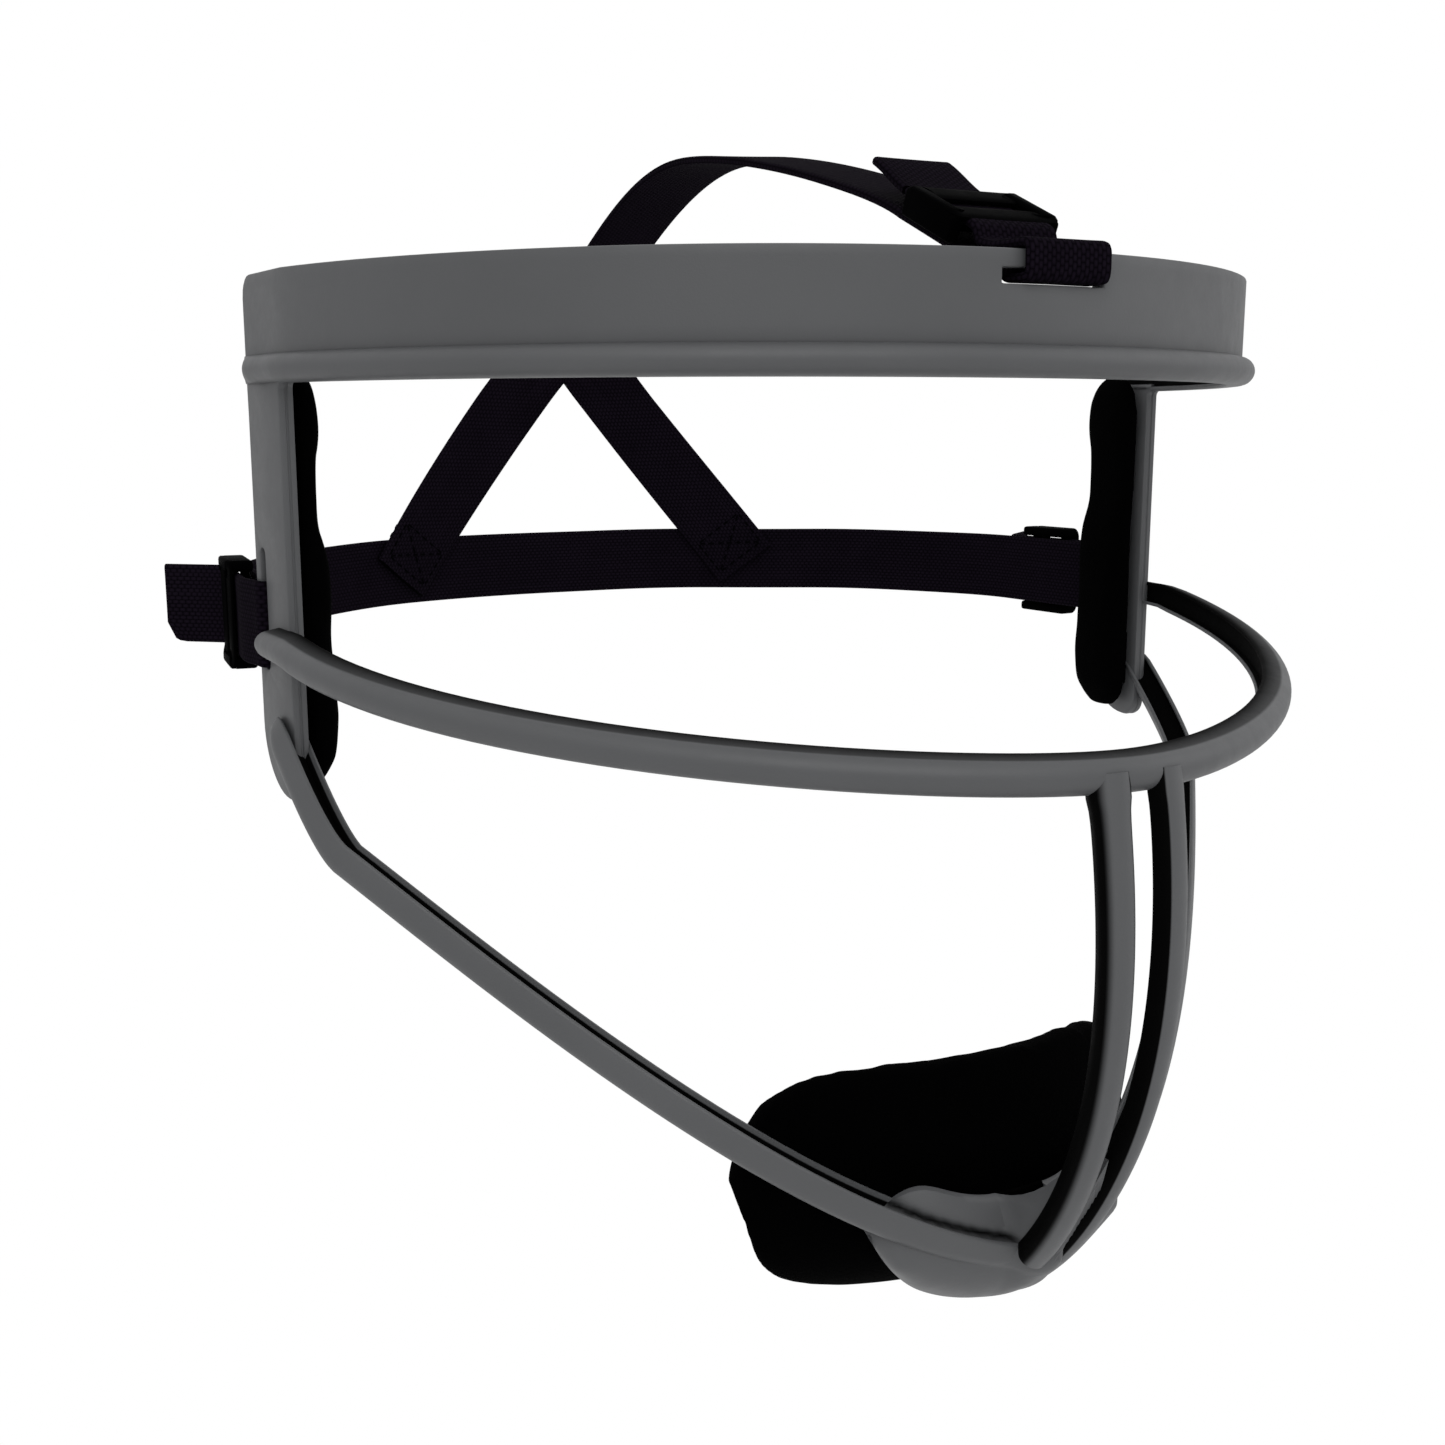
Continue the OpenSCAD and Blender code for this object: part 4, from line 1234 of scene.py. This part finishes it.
@dataclass(frozen=True)
class Pads:
    """The mask's pads."""

    gap: float = 3.9
    shrink: float = 0.35
    side_shrink: float = 0.1
    forehead_t: float = 6.5
    forehead_h: float = 12.2
    forehead_low: float = 1.2
    side_t: float = 6.4
    side_w: float = 17.0
    side_end: float = 9.0
    strap_half: float = 8.6
    relief: float = 5.2
    seam_every: float = 18.0
    chin_t: float = 7.0
    chin_half: float = 43.7
    chin_rise: float = 31.6
    chin_drop: float = 12.4
    chin_back: float = 5.9
    fold_up: float = 4.5

    def forehead(self) -> None:
        """Builds the forehead pad: a long pad with sewn cross channels."""
        stations = [(p, n) for p, n in PLAN.whole(1.0, []) if p.y < PLAN.side_start.y - 3]
        section = ((0, 0.12), (0, 0.88), (0.35, 1), (0.8, 0.86), (1, 0.6), (1, 0.4), (0.8, 0.14), (0.35, 0))
        rows = []
        low, high = self.forehead_low, self.forehead_low + self.forehead_h
        last = len(stations) - 1
        for i, (p, n) in enumerate(stations):
            angle = math.degrees(math.atan2(p.x, PLAN.front_y - p.y))
            seam = min(abs((angle + self.seam_every / 2) % self.seam_every - self.seam_every / 2) / 2.2, 1)
            end = min(i, last - i)
            full = (0.55 + 0.45 * smooth(seam)) * (0.5 + 0.5 * math.sqrt(min(1, end / 5)))
            t = (self.forehead_t - self.shrink) * full
            ring = []
            for out, up in section:
                at = p - n * (self.gap + self.shrink / 2 + out * t)
                ring.append(Vector((at.x, at.y, low + self.shrink + (high - low - 2 * self.shrink) * up)))
            rows.append(ring)
        Cushion("forehead_pad", 1.6, 0.45).build(rows)

    # height as a share of the upright's, and thickness as a share of the side pad's
    LOBES: ClassVar[Sequence[tuple[float, float]]] = (
        (-1.02, 0.2), (-0.96, 0.6), (-0.89, 0.92), (-0.8, 1), (-0.7, 0.9), (-0.61, 0.8), (-0.51, 0.86),
        (-0.41, 0.8), (-0.34, 0.52), (-0.27, 0.5), (-0.18, 0.54), (-0.11, 0.74), (-0.03, 0.72), (0.05, 0.5))

    def side(self, side: Side) -> None:
        """Args: side: builds the lobed pad of that side."""
        top, low = 4.0, -PLAN.upright_h + 1
        rows = []
        middle = PLAN.upright_front + 0.3 + self.side_w / 2
        count = 60
        for i in range(count + 1):
            z = low + self.side_shrink + (top - low - 2 * self.side_shrink) * i / count
            e = min(top - z, z - low)
            taper = 1.0 if e > self.side_end else math.sqrt(max(0.0, 1 - (1 - e / self.side_end) ** 2))
            t = self.side_t * lookup(z / PLAN.upright_h, self.LOBES) - self.side_shrink
            half = self.side_w / 2 * (0.15 + 0.85 * taper) - self.side_shrink
            by_strap = abs(z - PLAN.strap_z) < self.strap_half
            shape = ((-1, 0.1), (-0.85, 0), (0.3, 0), (0.52, 0), (0.85, 0), (1, 0.1), (1, 0.55), (0.84, 0.88),
                     (0.4, 1), (-0.4, 1), (-0.84, 0.88), (-1, 0.55))
            plain = self.gap + self.side_shrink / 2
            front = [self.relief if by_strap and a > 0.5 else plain for a, _ in shape]
            rows.append([PLAN.on_wall(middle + a * half, z, -near - b * (self.gap + t - near))
                         for near, (a, b) in zip(front, shape)])
        Cushion(f"side_pad_{side.word}", 1.3, 0.45).build([side.flip(row) for row in rows])

    def chin_point(self, s: float, f: float) -> Vector:
        """A point of the chin pad's front face.

        Args:
            s: share of the half length, -1 to 1.
            f: share of the way from top to bottom.

        Returns:
            The point.
        """
        x, a = self.chin_half * s, abs(s)
        top = PLAN.chin_z + self.chin_rise - 3.2 * a**1.5 - 13 * a**6 - 9 * a**18
        low = PLAN.chin_z - self.chin_drop + 8 * a**4 + 10 * a**12
        z = top * (1 - f) + low * f
        fold = PLAN.chin_z + self.fold_up
        lean = 13.5 * max(0.0, (fold - z) / 18.5) ** 2 + 1.3 * max(0.0, (z - fold - 15) / 15) ** 2
        return Vector((x, self.chin_back - PLAN.chin_reach + (0.0115 - 0.003 * f) * x * x + lean, z))

    def chin(self) -> None:
        """Builds the chin pad."""
        focus = Vector((0, 20, -118))
        reach, swell = 0.99, 0.6
        rows = []
        for i in range(41):
            s = -1 + 2 * i / 40
            front = [self.chin_point(s * reach, -0.01 + 1.05 * k / 18) for k in range(19)]
            front = [p + 0.1 * (focus - p).normalized() for p in front]
            deep = (self.chin_t - swell) * (0.6 + 0.4 * round_end(s, 14))
            rows.append(front + [p + deep * (focus - p).normalized() for p in front[::-1]])
        Cushion("chin_pad", 1.15, swell, passes=14).build(rows)

    def build(self) -> None:
        """Builds every pad."""
        self.forehead()
        self.chin()
        for side in Side:
            self.side(side)


# ---------------------------------------------------------------- harness
@dataclass(frozen=True)
class Ribbon:
    """Flat webbing with rounded edges."""

    width: float = 16.0
    thick: float = 1.5

    def section(self) -> Flat:
        """Returns: across and out, once round."""
        w, t = self.width / 2, self.thick / 2
        over = [(-w, t * 0.4), (-w + 0.25, t * 0.85), (-w + 0.7, t), (-w / 2, t * 0.96), (0, t * 0.94),
                (w / 2, t * 0.96), (w - 0.7, t), (w - 0.25, t * 0.85), (w, t * 0.4)]
        return over + [(a, -b) for a, b in over[::-1]]

    def rows(self, path: Row, across: Row, taper: Callable[[float, float], float] | None = None) -> list[Row]:
        """Section placed along a path.

        Args:
            path: middle of the webbing.
            across: direction across it at each point.
            taper: moves a point along the path, from share of the way and share across.

        Returns:
            A row for each point.
        """
        out = []
        for i, (p, t, s) in enumerate(zip(path, tangents(path), across)):
            s = (s - s.dot(t) * t).normalized()
            n = s.cross(t)
            row = []
            for a, b in self.section():
                q = p + s * a + n * b
                if taper:
                    q += t * taper(i / (len(path) - 1), a / (self.width / 2))
                row.append(q)
            out.append(row)
        return out


WEB = Ribbon()


def webbing(rows: Sequence[Row], name: str, body: str, *nodes: str) -> bpy.types.Object:
    """Args: rows, name, body, nodes: rings of points, then as for finished. Returns: the webbing."""
    return finished(closed(rows), name, Finish.WEBBING, WEB_CREASE, body, *nodes)


@dataclass(frozen=True)
class Harness:
    """Straps, free tails and slide buckles."""

    heading: float = 95.0
    back_reach: float = 116.0
    double_end: float = 30.3
    buckle_gap: float = 11.0
    layer: float = 1.95
    web_n: float = 1.95
    tail: float = 15.5
    tail_angle: float = 56.0
    crown_z: float = 46.8
    crown_rise: float = 23.5
    crown_double: float = 24.8
    crown_gap: float = 5.5
    crown_tail: float = 11.0
    crown_tail_angle: float = 5.0
    lip_y: float = -85.4
    leg_top: float = 18.5
    leg_gap: float = 0.9
    crown_top_y: float = 28.0
    crown_low: float = 14.95
    per_span: int = 5
    behind_span: float = 16.2

    def on_strap(self, u: float, n: float) -> Vector:
        """Args: u, n: back from the slot's middle and out of the wall's middle. Returns: the point."""
        return PLAN.on_wall(PLAN.slot_x + u, PLAN.strap_z, -PLAN.wall / 2 + n)

    @property
    def web_dir(self) -> Vector:
        """Returns: direction back along the doubled webbing."""
        return Vector((*cos_sin(self.heading), 0))

    @property
    def web_out(self) -> Vector:
        """Returns: direction out of the doubled webbing."""
        return PLAN.heading(self.heading)

    def on_web(self, u: float, n: float) -> Vector:
        """Args: u, n: back along the doubled webbing and out of its middle. Returns: the point."""
        behind_post = self.on_strap(PLAN.slot_w / 2 + PLAN.post + WEB.thick, 0.9)
        return behind_post + u * self.web_dir + n * self.web_out

    def back_curve(self) -> Row:
        """Returns: control points of the strap's run round the back, on the wearer's left."""
        start = self.on_web(self.double_end, -self.web_n)
        return [start, start + 22 * self.web_dir, Vector((62, self.back_reach, PLAN.strap_z)),
                Vector((0, self.back_reach, PLAN.strap_z))]

    def back_strap(self) -> None:
        """Builds the one length of webbing that runs from tail to tail round the back."""
        web, slot, n, m = self.on_web, self.on_strap, self.web_n, self.layer
        run = ((web, self.double_end - 0.1, n), (web, 22, n - 0.15), (web, 14, n), (web, 7, n + 0.1),
               (web, 3, n), (slot, 3.2, m), (slot, 1.3, m), (slot, 0.25, m * 0.8), (slot, -0.1, 0),
               (slot, 0.25, -m * 0.8), (slot, 1.3, -m), (slot, 3.9, -m), (web, 3, -n), (web, 8, -n),
               (web, 14, -n), (web, 22, -n))
        outer = [where(back, out) for where, back, out in run]
        half = spline(outer, self.per_span)[:-1] + [bezier(self.back_curve(), i / 60) for i in range(61)]
        path = half + mirrored(half[-2::-1])
        rows = WEB.rows(path, [UP] * len(path))
        for row in rows:
            for k, q in enumerate(row):
                wave = noise.noise(Vector((q.x, q.y, 0)) * 0.03)
                row[k] = q + Vector((0, 0, 0.35 * wave * smooth((q.y - 55) / 30)))
        webbing(rows, "back strap", "mask", "back_strap", "slot_loop_right", "slot_loop_left")

    def on_back(self, u: float, z: float, d: float) -> Vector:
        """A point by the back strap's inner face, on the wearer's left.

        Args:
            u: distance round from the middle.
            z: height.
            d: distance inside the strap's middle.

        Returns:
            The point.
        """
        f = 1 - u / 170
        curve = self.back_curve()
        p = bezier(curve, f)
        t = (bezier(curve, f + 0.01) - bezier(curve, f - 0.01)).normalized()
        return Vector((p.x - d * t.y, p.y + d * t.x - max(0.0, z) * 0.12, z))

    def leg_edges(self, f: float) -> tuple[tuple[float, float], tuple[float, float]]:
        """Inner and outer edge of a yoke leg.

        Args:
            f: share of the way down.

        Returns:
            Distance round and height of both edges.
        """
        bow = 1.1 * math.sin(math.pi * f)
        inner = (44.5 * f - bow, 3 + (PLAN.strap_z - 6.4 - 3) * f)
        outer = (12 + 49 * f - bow, 13.5 + (PLAN.strap_z + 3.8 - 13.5) * f)
        return inner, outer

    def leg(self, side: Side) -> None:
        """Args: side: builds the yoke leg of that side, with its stitching."""
        rows = []
        stations = [((0, self.leg_top), (8, self.leg_top))]
        stations += [((0, self.leg_top - 5), (9.2, self.leg_top - 1.5)), ((0, 8), (10.4, 16))]
        stations += [self.leg_edges(i / 30) for i in range(31)]
        for (u0, z0), (u1, z1) in stations:
            row = []
            for a, b in ((0, 0.3), (0.03, 0.06), (0.1, 0), (0.5, 0.03), (0.9, 0), (0.97, 0.06), (1, 0.3),
                         (1, 0.7), (0.97, 0.94), (0.9, 1), (0.5, 0.97), (0.1, 1), (0.03, 0.94), (0, 0.7)):
                row.append(self.on_back(u0 + (u1 - u0) * a, z0 + (z1 - z0) * a, self.leg_gap + b * WEB.thick))
            rows.append(side.flip(row))
        webbing(rows, f"yoke leg {side.word}", "mask", f"yoke_leg_{side.word}")
        self.leg_stitches(side)

    def leg_stitches(self, side: Side) -> None:
        """Args: side: sews that leg's tip to the back strap with a box and a cross."""
        (a, b), (c, d) = [map(Vector, self.leg_edges(f)) for f in (0.8, 0.985)]

        def at(share: float, down: float, depth: float) -> Vector:
            """Args: share, down, depth: across, down and into the seam. Returns: the point."""
            u, z = a.lerp(c, down).lerp(b.lerp(d, down), share)
            return self.on_back(u, z, depth)

        seams = [((0.1, 0.12), (0.9, 0.12)), ((0.9, 0.12), (0.9, 0.9)), ((0.9, 0.9), (0.1, 0.9)),
                 ((0.1, 0.9), (0.1, 0.12)), ((0.1, 0.12), (0.9, 0.9)), ((0.9, 0.12), (0.1, 0.9))]
        mesher = Mesher()
        for depth in (self.leg_gap + WEB.thick + 0.02, -WEB.thick / 2 - 0.02):
            for (s0, f0), (s1, f1) in seams:
                p, q = at(s0, f0, depth), at(s1, f1, depth)
                count = max(3, round((q - p).length / 2.6))
                for i in range(count):
                    ends = [at(s0 + (s1 - s0) * k, f0 + (f1 - f0) * k, depth)
                            for k in ((i + 0.14) / count, (i + 0.86) / count)]
                    stitch(mesher, side.flip(ends), 0.26)
        finished(mesher, f"yoke stitches {side.word}", Finish.THREAD, NO_CREASE, "mask")

    def on_crown(self, u: float, n: float) -> Vector:
        """Args: u, n: back along the doubled crown strap and up from its middle. Returns: the point."""
        c, s = cos_sin(self.crown_rise)
        return Vector((0, self.lip_y + 9 + u * c - n * s, PLAN.band_top + 0.3 + u * s + n * c))

    def crown_strap(self) -> None:
        """Builds the one length of webbing from the crown tail through the band's slot to the yoke."""
        n, half = self.web_n, WEB.thick / 2
        front, rear = self.lip_y - 1.4 - 0.3 - half, self.lip_y + 1.4 + 0.75 + half
        top, low, lip = PLAN.band_top + 0.3 + half, self.crown_low, self.lip_y
        outside = ((self.crown_double - 0.1, n), (19, n), (13, n + 0.2), (7.5, n + 0.9), (4, n + 0.7))
        slot = ((lip + 10.4, top + 1.1), (lip + 7, top + 0.15), (lip + 3, top), (front + 1.2, top - 0.02),
                (front + 0.12, top - 0.8), (front, top - 2.2), (front, low + 1.4), (front + 0.25, low + 0.35),
                (front + 1, low), (rear - 1, low), (rear - 0.2, low + 0.4), (rear, low + 1.6),
                (rear + 0.1, PLAN.band_top - 3.4))
        down = ([self.on_crown(u, out) for u, out in outside] + [Vector((0, y, z)) for y, z in slot]
                + [self.on_crown(u, -n) for u in (0.2, 5, 12, 19)])
        start = self.on_crown(self.crown_double, -n)
        lead = Vector((0, 12, 6.4))
        top_at = Vector((0, self.crown_top_y, self.crown_z))
        first = [start, start + lead, Vector((0, self.crown_top_y - 26, self.crown_z - 1.2)), top_at]
        end = self.on_back(0, self.leg_top, WEB.thick + 0.1)
        second = [top_at, Vector((0, self.crown_top_y + 26, self.crown_z + 1.2)),
                  Vector((0, self.crown_top_y + 50, self.crown_z - 12.8)),
                  Vector((0, end.y, self.leg_top - 3))]
        path = (spline(down, self.per_span)[:-1] + [bezier(first, i / 26) for i in range(27)]
                + [bezier(second, i / 30) for i in range(1, 31)])
        twist = [0.06 * smooth((p.y + 56) / 30) * (1 - smooth((p.y - 10) / 50)) for p in path]
        rows = WEB.rows([self.shift(p) for p in path], [Vector((1, 0, z)) for z in twist])
        # behind the band's slot the webbing lies further to the wearer's right
        behind = self.behind_span * self.per_span
        rows = [[p - 1.2 * hump(i, behind, 9) * ASIDE for p in row] for i, row in enumerate(rows)]
        webbing(rows, "crown strap", "mask", "crown_strap", "crown_slot_loop")

    @staticmethod
    def shift(p: Vector) -> Vector:
        """Args: p: a point of the crown strap. Returns: it with the webbing's sideways lie in its slot."""
        return p + 1.4 * (1 - smooth((p.y + 60) / 90)) * ASIDE

    def side_tail(self, side: Side) -> None:
        """Args: side: builds that side's free tail, with its lower corner rounded off."""
        pivot = self.on_web(self.double_end + WEB.thick / 2, self.web_n)
        away = Vector((*cos_sin(self.heading - self.tail_angle), 0))
        path = [pivot]
        count = 24
        for i in range(1, count + 1):
            share = i / count
            turn = smooth(share * 3.2)
            step = (self.web_dir * (1 - turn) + away * turn).normalized()
            path.append(path[-1] + step * self.tail / count)
        corner = 4.0

        def cut(share: float, across: float) -> float:
            """Args: share, across: along and across the tail. Returns: how far its end moves."""
            low = max(0.0, -across * 8 - (8 - corner))
            back = corner - math.sqrt(max(0.0, corner**2 - low**2))
            return -back * smooth((share - 0.55) / 0.45)

        rows = WEB.rows(side.flip(path), [UP] * len(path), cut)
        webbing(rows, f"side tail {side.word}", *[f"side_tail_{side.word}"] * 2)

    def crown_flap(self) -> None:
        """Builds the crown strap's free tail."""
        path = [self.on_crown(self.crown_double + WEB.thick / 2, self.web_n)]
        count = 20
        for i in range(1, count + 1):
            angle = self.crown_rise + self.crown_tail_angle + 6 * math.sin(math.pi * i / count)
            path.append(path[-1] + Vector((0, *cos_sin(angle))) * self.crown_tail / count)
        rows = WEB.rows([self.shift(p) for p in path], [ASIDE] * len(path))
        webbing(rows, "crown tail", "crown_tail", "crown_tail")

    def buckles(self) -> None:
        """Builds the three slide buckles."""
        for side in Side:
            Buckle().build(f"buckle_{side.word}",
                           *side.flip([self.web_dir, self.web_out, UP, self.on_web(self.buckle_gap, 0)]))
        c, s = cos_sin(self.crown_rise)
        Buckle().build("crown_buckle", Vector((0, c, s)), Vector((0, -s, c)), ASIDE,
                       self.shift(self.on_crown(self.crown_gap, 0)))

    def build(self) -> None:
        """Builds the whole harness."""
        self.back_strap()
        self.crown_strap()
        self.crown_flap()
        self.buckles()
        for side in Side:
            self.leg(side)
            self.side_tail(side)


def stitch(mesher: Mesher, ends: Row, radius: float) -> None:
    """Adds one stitch of thread.

    Args:
        mesher: mesh to add to.
        ends: its two ends.
        radius: of the thread.
    """
    a, b = ends
    along = b - a
    turn = along.to_track_quat("Z", "Y").to_matrix().to_4x4()
    size = Matrix.Diagonal((radius, radius, along.length / 2, 1))
    bmesh.ops.create_icosphere(mesher.bm, subdivisions=1, radius=1.0,
                               matrix=Matrix.Translation((a + b) / 2) @ turn @ size)


@dataclass(frozen=True)
class Buckle:
    """Slide buckle: a rounded frame over the webbing and a bar between its two layers."""

    length: float = 16.0
    bar: float = 1.8
    rail: float = 2.3
    inside: float = 8.3
    outer: float = 3.0
    lip: float = 5.9
    arch: float = 0.9
    sunk: float = 0.35
    corner: float = 2.2
    block_share: float = 0.94
    block_low: float = 0.5
    block_r: float = 0.7

    def build(self, node: str, along: Vector, out: Vector, across: Vector, at: Vector) -> None:
        """Builds a buckle.

        Args:
            node: the CAD node and body that it stands for.
            along: direction along the webbing.
            out: direction out of it.
            across: direction across it.
            at: where its own zero goes.
        """
        where = Matrix.Translation(at) @ Matrix((along, out, across)).transposed().to_4x4()
        mesher = Mesher()
        top = self.outer + self.bar * 0.7
        self.ring(mesher, where, top)
        low, high = -self.bar / 2, top - self.block_low
        for sign in (-1, 1):
            mid = Vector((self.length / 2, (high + low) / 2, sign * (self.inside + self.rail / 2)))
            mesher.block(Vector((self.length * self.block_share, high - low, self.rail - 0.1)),
                         where @ Matrix.Translation(mid), self.block_r)
        bmesh.ops.create_cone(mesher.bm, segments=20, radius1=self.bar / 2, radius2=self.bar / 2,
                              depth=2 * self.inside + 1.2, cap_ends=True,
                              matrix=where @ Matrix.Translation((self.length / 2, 0, 0)))
        finished(mesher, node.replace("_", " "), Finish.BUCKLE, 40, node, node)

    def ring(self, mesher: Mesher, where: Matrix, top: float) -> None:
        """Adds the rounded frame.

        Args:
            mesher: mesh to add to.
            where: turns the buckle's own space into place.
            top: height of its upper face.
        """
        corner = self.corner
        far, side = self.length - corner, self.inside + self.rail - corner
        path: list[tuple[Vector, Vector]] = []
        for x, z, start in ((far, side, 0), (corner, side, 90), (corner, -side, 180), (far, -side, 270)):
            for i in range(7):
                c, s = cos_sin(start + 90 * i / 6)
                out = Vector((c, 0, s))
                path.append((Vector((x, 0, z)) + corner * out, out))
        rows = []
        section = ((0, 0.25), (0.06, 0.08), (0.2, 0), (0.8, 0), (0.94, 0.08), (1, 0.25), (1, 0.7),
                   (0.9, 0.92), (0.72, 1), (0.28, 1), (0.1, 0.92), (0, 0.7))
        for p, out in path + path[:1]:
            wide = self.rail + (self.lip - self.rail) * abs(out.x)
            high = top - self.outer - self.sunk + self.arch * (1 - (2 * (p.x / self.length) - 1) ** 2)
            rows.append([where @ (p - out * (a * wide) + (self.outer + b * high) * Vector((0, 1, 0)))
                         for a, b in section])
        mesher.skin(rows, around=True)
        bmesh.ops.remove_doubles(mesher.bm, verts=mesher.bm.verts, dist=0.0005)


# ---------------------------------------------------------------- studio
def seen_white(nodes: Nodes, lit: bpy.types.Node, white: str, output: str) -> None:
    """Lets the camera see plain white where everything else gets a shader's light.

    Args:
        nodes: node helper of a material or world.
        lit: the shader's node.
        white: kind of the white shader.
        output: kind of the output node.
    """
    plain = nodes.add(white, in_Color=(1, 1, 1, 1), in_Strength=1.0)
    ray = nodes.add("LightPath").outputs["Is Camera Ray"]
    both = nodes.add("MixShader", in_0=ray, in_1=lit.outputs[0], in_2=plain.outputs[0])
    nodes.add(output, in_Surface=both.outputs[0])


@dataclass(frozen=True)
class Studio:
    """Pale floor, soft light and the camera."""

    camera_at: tuple[float, float, float] = (-0.1651, -0.2943, -0.0063)
    tilt: float = 79.5935
    turn: float = -27.405
    lens: float = 41.11
    sensor: float = 36.0
    floor_z: float = -0.46
    sky: float = 0.92

    def white(self) -> None:
        """Lights the room evenly and shows it white."""
        world = bpy.data.worlds.new("studio")
        world.use_nodes = True
        nodes = Nodes(world.node_tree)
        where = nodes.add("TexCoord").outputs["Generated"]
        up = nodes.add("SeparateXYZ", in_0=where).outputs[2]
        share = nodes.math("ADD", 0.5, nodes.math("MULTIPLY", up, 0.5), True)
        shade = nodes.mix(share, (0.24, 0.24, 0.25, 1), (1.0, 1.0, 1.0, 1))
        light = nodes.add("Background", in_Color=shade, in_Strength=self.sky)
        seen_white(nodes, light, "Background", "OutputWorld")
        bpy.context.scene.world = world

    def floor(self) -> None:
        """Lays the pale floor."""
        bm = bmesh.new()
        bmesh.ops.create_grid(bm, x_segments=1, y_segments=1, size=6,
                              matrix=Matrix.Translation((0, 0, self.floor_z)))
        mesh = bpy.data.meshes.new("floor")
        bm.to_mesh(mesh)
        bm.free()
        pale = bpy.data.materials.new("pale floor")
        pale.use_nodes = True
        nodes = Nodes(pale.node_tree)
        matte = nodes.add("BsdfDiffuse", in_Color=(0.86, 0.86, 0.86, 1))
        seen_white(nodes, matte, "Emission", "OutputMaterial")
        mesh.materials.append(pale)
        add_object("floor", mesh)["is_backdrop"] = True

    def lamp(self, name: str, at: Vector, size: float, power: float) -> None:
        """Adds a soft lamp aimed at the mask.

        Args:
            name: its name.
            at: where it is, in metres.
            size: width of its face.
            power: in watts.
        """
        data = bpy.data.lights.new(name, "AREA")
        data.size = size
        data.energy = power
        made = add_object(name, data)
        made.location = at
        made.rotation_euler = (-at).to_track_quat("-Z", "Y").to_euler()
        made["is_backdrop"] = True

    def camera(self) -> None:
        """Sets the camera."""
        data = bpy.data.cameras.new("view")
        data.lens = self.lens
        data.sensor_width = self.sensor
        data.clip_start = 0.01
        made = add_object("view", data)
        made.location = self.camera_at
        made.rotation_euler = (math.radians(self.tilt), 0, math.radians(self.turn))
        bpy.context.scene.camera = made

    def build(self) -> None:
        """Builds the studio."""
        self.white()
        self.floor()
        self.lamp("key", Vector((-0.5, -0.9, 0.75)), 0.9, 4.2)
        self.lamp("fill", Vector((0.9, -0.5, 0.35)), 0.8, 1.2)
        self.camera()
        bpy.context.scene.view_settings.view_transform = "Standard"


# ---------------------------------------------------------------- the mask
@dataclass(frozen=True)
class Mask:
    """The whole mask."""

    band: Band = field(default_factory=Band)
    rail: Rail = field(default_factory=Rail)
    upright: Upright = field(default_factory=Upright)
    guard: Guard = field(default_factory=Guard)
    pads: Pads = field(default_factory=Pads)
    harness: Harness = field(default_factory=Harness)

    def build(self) -> None:
        """Builds every piece."""
        self.band.build()
        self.rail.build()
        for side in Side:
            self.upright.build(side)
        self.guard.build()
        self.pads.build()
        self.harness.build()


def finish_tapes() -> None:
    """Gives the CAD nodes that stay in view their finish."""
    for name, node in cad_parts.items():
        if "tape" in name:
            node.data.materials.clear()
            node.data.materials.append(Finish.TAPE.material())


def main() -> None:
    """Builds the mask and its studio."""
    logging.basicConfig(level=logging.INFO)
    random.seed(7)
    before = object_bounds()
    Mask().build()
    finish_tapes()
    Studio().build()
    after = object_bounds()
    sizes = {"before": [list(corner) for corner in before], "after": [list(corner) for corner in after]}
    log.info("size before %s, after %s", *[[round(v, 4) for c in pair for v in c] for pair in sizes.values()])


if __name__ == "__main__":
    main()
